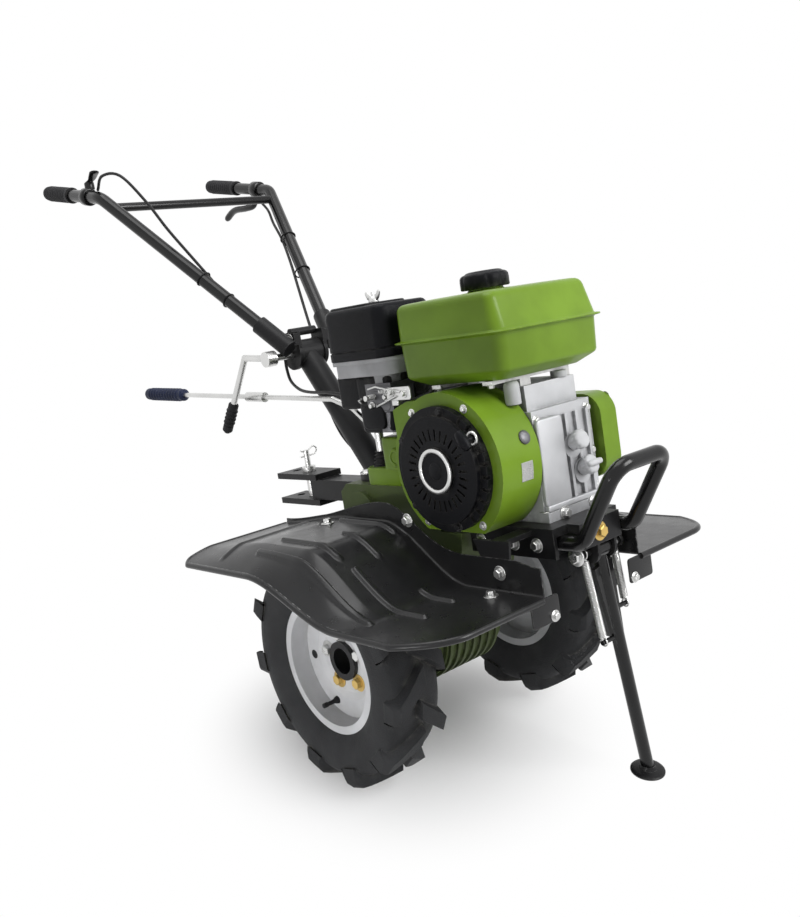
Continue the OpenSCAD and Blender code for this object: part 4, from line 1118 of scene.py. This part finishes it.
# %% Belt cover panel
panel = soft_block((44, 171.4, 533), (186, 44, 2.2), 43, 2, FACE_SIDE)
put("drive_guard_panel", [panel], lime_paint)
guard_spots = [(x, 171, z) for x in (250, 128, -30) for z in (474, 592)] + [(-166, 171, 533)]
put("drive_guard_bolts", bolts([(spot, LEFT) for spot in guard_spots], 10, 6), zinc)

# %% [markdown]
# ## Frame and fender fixings
# Bolts fasten the fenders' flanges and the engine frame, one of them plated yellow, and a small
# plate hangs under each fender's inner front corner.

# %% Frame and fender bolts
frame_bolts = [((x, -48, 398), RIGHT) for x in (257, 209, 136)]
frame_bolts += [((-134, s * 156, CROWN_HI), UP) for s in BOTH]
frame_bolts += [((236, s * 140, CROWN_HI - CROWN_FALL), UP) for s in BOTH]
frame_bolts += [((x, s * 116.2, z), (0, s, 0)) for x, z in ((238, 372), (40, CROWN_HI + 6)) for s in BOTH]
put("frame_bolts", bolts(frame_bolts, 13, 9), zinc)
put("yellow_bolt", bolts([((316, 32, 404), AHEAD)], 17, 10), yellow_zinc)
tabs = [soft_block((319, s * 116, 322), (30, 20, 1.4), 5, 0.6, FACE_AHEAD) for s in BOTH]
put("fender_tabs", tabs, fender_black)
put("fender_tab_bolts", bolts([((320.4, s * 98, 310), AHEAD) for s in BOTH], 10, 6), zinc)

# %% [markdown]
# ## Wheel fixings
# Five bolts hold each rim's disc to its hub flange, and a valve stub stands between two drain
# holes. They ride on the wheel, so they are placed about the axle.

# %% Wheel bolts and valves
BOLT_R, VALVE_R, HOLE_R = 0.046, 0.086, 0.084
FIRST_BOLT, VALVE_TURN, HOLE_TURNS = 250, 4.5, (0.25, 3.4)
VALVE = np.array([(7, 0), (6, 4), (4, 8), (3.4, 22), (4.4, 23), (4.4, 31), (3, 32)]) * MM
HOLE = np.array([(8, 0), (8, 0.5), (6.5, 0.7), (6, 0.2), (0.4, 0.2)]) * MM


def round_axle(r, a, y):
    """Point at radius r and angle a round the axle, in metres."""
    return AXLE + (r * math.cos(a), y, r * math.sin(a))


for side, sign in SIDES:
    wheel, outward = f"{side}_wheel", (0, sign, 0)
    flange_y, disc_y = sign * (TYRE_MID - 0.003), sign * (TYRE_MID + 0.002)
    turns = np.radians(FIRST_BOLT + 72 * np.arange(5))
    spots = [(round_axle(BOLT_R, a, flange_y), outward) for a in turns]
    put(f"{side}_wheel_bolts", bolts(spots[2:], 17, 10, level=False), zinc, wheel)
    put(f"{side}_wheel_bolts_yellow", bolts(spots[:2], 17, 10, level=False), yellow_zinc, wheel)
    trim = [turned(VALVE, round_axle(VALVE_R, VALVE_TURN, disc_y), outward, 20)]
    trim += [turned(HOLE, round_axle(HOLE_R, a, disc_y), outward, 24) for a in HOLE_TURNS]
    put(f"{side}_wheel_valve", trim, grip_rubber, wheel)

# %% [markdown]
# ## Stand, hitch and levers
# Last come a dished foot for the stand, a spring clip for the hitch pin, a bellows on the shift
# tower, ribs on the two lever grips and ties that hold the cables to the handlebar.

# %% Stand foot and hitch clip
PIN_TOP = np.array([-395.0, 0.0, 524.0])
foot_form = [(30, 0), (30, 2.2), (28.6, 3.6), (24, 4.6), (15, 5.8), (13.5, 9), (12.4, 13)]
foot = turned(np.array(foot_form) * MM, FOOT * (1, 1, 0), UP, 56)
put("stand_foot_dish", [foot], black_satin, "stand", ("stand_foot",))
clip = ((-16, 0), (14, 0), (24, 4), (26, 12), (18, 17), (8, 12), (-2, 9), (-14, 12))
clip_line = smooth_path([PIN_TOP + (0, y, z) for y, z in clip], 6)
put("hitch_clip", [wire(clip_line, 1.6, 10, (1, 0.05, 0))], zinc)
put("stand_bolt_nut", bolts([((289, 2, 368), RIGHT)], 17, 9), zinc)

# %% Bellows and lever grips
s = np.linspace(0, 1, 60)
folds = 18 - 8 * s + 2.4 * np.cos(2 * np.pi * 5 * s)
bellows = lathe(np.column_stack([folds, 512 + 32 * s]), (-96, -40, 0), UP, 36)
put("shift_bellows", [bellows], grip_rubber)


def ribbed(start, end, r, pitch):
    """Grip with rings: the radius follows a cosine between two plain, rounded ends."""
    start, end = np.array(start, float), np.array(end, float)
    long = np.linalg.norm(end - start)
    d = np.linspace(0, long, 140)
    ends = ease(d, 0, 5) * (1 - ease(d, long - 6, long))
    ribs = np.cos(2 * np.pi * d / pitch) * ease(d, 12, 20) * (1 - ease(d, long - 24, long - 16))
    radius = (r - 1.4 + 1.4 * ribs) * (0.6 + 0.4 * ends)
    return lathe(np.column_stack([radius, d]), start, end - start, 32)


gear_grip = ribbed((-730, -71.2, 677.4), (-896, -77.8, 687.9), 15, 12)
put("gear_lever_grip_ribbed", [gear_grip], blue_rubber, replaces=("gear_lever_grip",), sharp=70)
CRANK_KNEE = np.array([-488.0, -92.0, 654.0])
crank_grip = ribbed(CRANK_KNEE, CRANK_KNEE + 76 * unit([-70, -2, -88]), 12, 10)
put("crank_grip_ribbed", [crank_grip], grip_rubber, "handlebar", ("clamp_crank_grip",), sharp=70)

# %% Cable ties and handlebar bolts
TIES = (
    (-1, 0.436, (-470, -105.4, 911)), (-1, 0.3, (-424, -81, 836)),
    (1, 0.65, (-560, 145.1, 983.2)), (1, 0.42, (-465, 98.6, 876)),
)


def tie(sign, share, cable_at):
    """Strap round one arm and the cable beside it: a stretched ring across the arm."""
    arm = (ARM_LOW + share * (ARM_BEND - ARM_LOW)) * (1, sign, 1)
    along = unit((ARM_BEND - ARM_LOW) * (1, sign, 1))
    toward = np.array(cable_at) - arm
    toward = unit(toward - along * (toward @ along))
    cross = np.cross(along, toward)
    a = np.linspace(0, 2 * np.pi, 33)[:, None]
    loop = arm + toward * (2.5 + 16.8 * np.cos(a)) + cross * 13.9 * np.sin(a)
    return wire(loop, 1.5, 8, turn_up(along))


put("cable_ties", [tie(*where) for where in TIES], black_plastic, "handlebar")
yoke_bolts = [((-322, s * 42, 764), (0, s, 0)) for s in BOTH]
put("yoke_bolts", bolts(yoke_bolts, 13, 8), zinc, "handlebar")
column_turns = np.radians((100, 180, 260))
column_bolts = [((-150 + 36 * math.cos(a), 36 * math.sin(a), 500), UP) for a in column_turns]
put("column_bolts", bolts(column_bolts, 13, 8), zinc)

# %% [markdown]
# ## Hoop, levers and housings
# The hoop is a bent tube, so a bar along the same line, with more sides, takes the solid's place.
# Round each inner corner the line follows an arc. The clutch lever is a thick hooked bar and the
# throttle a flat thumb blade on a drum. The black carburettor housing, the green case under it and
# the crankcase's flat cover are boxes with soft edges, which the solids leave out.

# %% Hoop


def bent(points, r, steps=12):
    """Line through the points whose inner corners are arcs of radius r."""
    p = np.asarray(points, float)
    line = [p[:1]]
    for a, b, c in zip(p[:-2], p[1:-1], p[2:]):
        into, out = unit(b - a), unit(c - b)
        turn = math.acos(into @ out)
        t = np.linspace(0, turn, steps)[:, None]
        inward = unit(out - (into @ out) * into)
        arc = np.sin(t) * into + (1 - np.cos(t)) * inward
        line.append(b - r * math.tan(turn / 2) * into + r * arc)
    return np.concatenate(line + [p[-1:]])


half_hoop = [(200, 399), (330, 399), (408, 519)]
hoop_line = [(x, -27, z) for x, z in half_hoop] + [(x, 97, z) for x, z in half_hoop[::-1]]
hoop = wire(bent(hoop_line, 30), 12, 32, turn_up((-0.85, 0.1, 0.5)))
put("bumper_hoop_tube", [hoop], black_gloss, replaces=("bumper_hoop",), sharp=60)

# %% Clutch and throttle levers
CLUTCH_CLAMP, THUMB_CLAMP = ARM_BEND + 50 * BAR_BACK, ARM_BEND * (1, -1, 1) + 60 * BAR_BACK


def clamp_band(place, half):
    """Band round the handlebar's tube, with bevelled edges."""
    upper = [(18.2, half - 1), (17.4, half), (13.1, half)]
    return loop_ring([(r, -h) for r, h in upper[::-1]] + upper, place, BAR_BACK)


def taper(line, shares, radii):
    """Radius at each point of a line, from radii at some shares of its points."""
    return np.interp(np.linspace(0, 1, len(line)), shares, radii)


hook = [(2, -4, -12), (-16, -6, -34)]
hook += [back * BAR_BACK + p for back, p in ((52, (0, -7, -46)), (110, (0, -5, -55)), (158, (0, -3, -80)))]
lever_line = smooth_path([CLUTCH_CLAMP + p for p in hook], 12)
lever_r = taper(lever_line, [0, 0.2, 0.45, 0.93, 0.97, 0.99, 1], [6, 6, 7.6, 8, 7, 4.6, 1.5])
clutch = [wire(lever_line, lever_r, 20, LEFT), clamp_band(CLUTCH_CLAMP, 12)]
put("clutch_lever_formed", clutch, black_gloss, "handlebar", ("clutch_lever",), sharp=60)

drum = [(3, 14), (9.4, 14), (10.2, 16), (10.2, 28), (9, 29.6), (3, 30)]
blade = smooth_path([THUMB_CLAMP + p for p in ((-8, 8, 29), (14, 8, 32), (36, 4, 37), (60, -2, 41))], 8)
blade_r = taper(blade, [0, 0.06, 0.3, 0.6, 0.9, 0.97, 1], [4, 8, 7.4, 9, 10, 7, 2])
throttle = [clamp_band(THUMB_CLAMP, 10), lathe(drum, THUMB_CLAMP + (0, 8, 0), UP, 28)]
throttle.append(wire(blade, blade_r, 24, UP, flat=0.32))
put("throttle_lever_formed", throttle, black_gloss, "handlebar", ("throttle_lever",), sharp=60)

# %% Housings and crankcase cover
housing = [
    soft_block((-42, -50, 634), (46, 34, 50), 14, 7),
    soft_block((-40, -86, 612), (30, 20, 5), 10, 3, FACE_SIDE),
    soft_block((-104, -50, 657), (36, 33, 30), 10, 6),
]
put("carburettor_housing", housing, black_plastic)
boss = [(17, -2), (17, 3), (15, 5.4), (11, 6), (10, 4.4), (0.4, 4.2)]
case = [
    soft_block((-25, -39, 529), (44, 25, 44), 12, 6),
    soft_block((-70, -41, 501), (52, 24, 17), 14, 5),
    lathe(boss, (-26, -64, 538), RIGHT, 40),
]
put("clutch_case", case, lime_paint)
cover = [
    soft_block((256.6, 13, 517), (30, 70, 6), 8, 3, FACE_AHEAD),
    soft_block((258, 48, 446), (64, 5, 5.4), 3, 2, FACE_AHEAD),
]
put("crankcase_cover", cover, cast_silver)
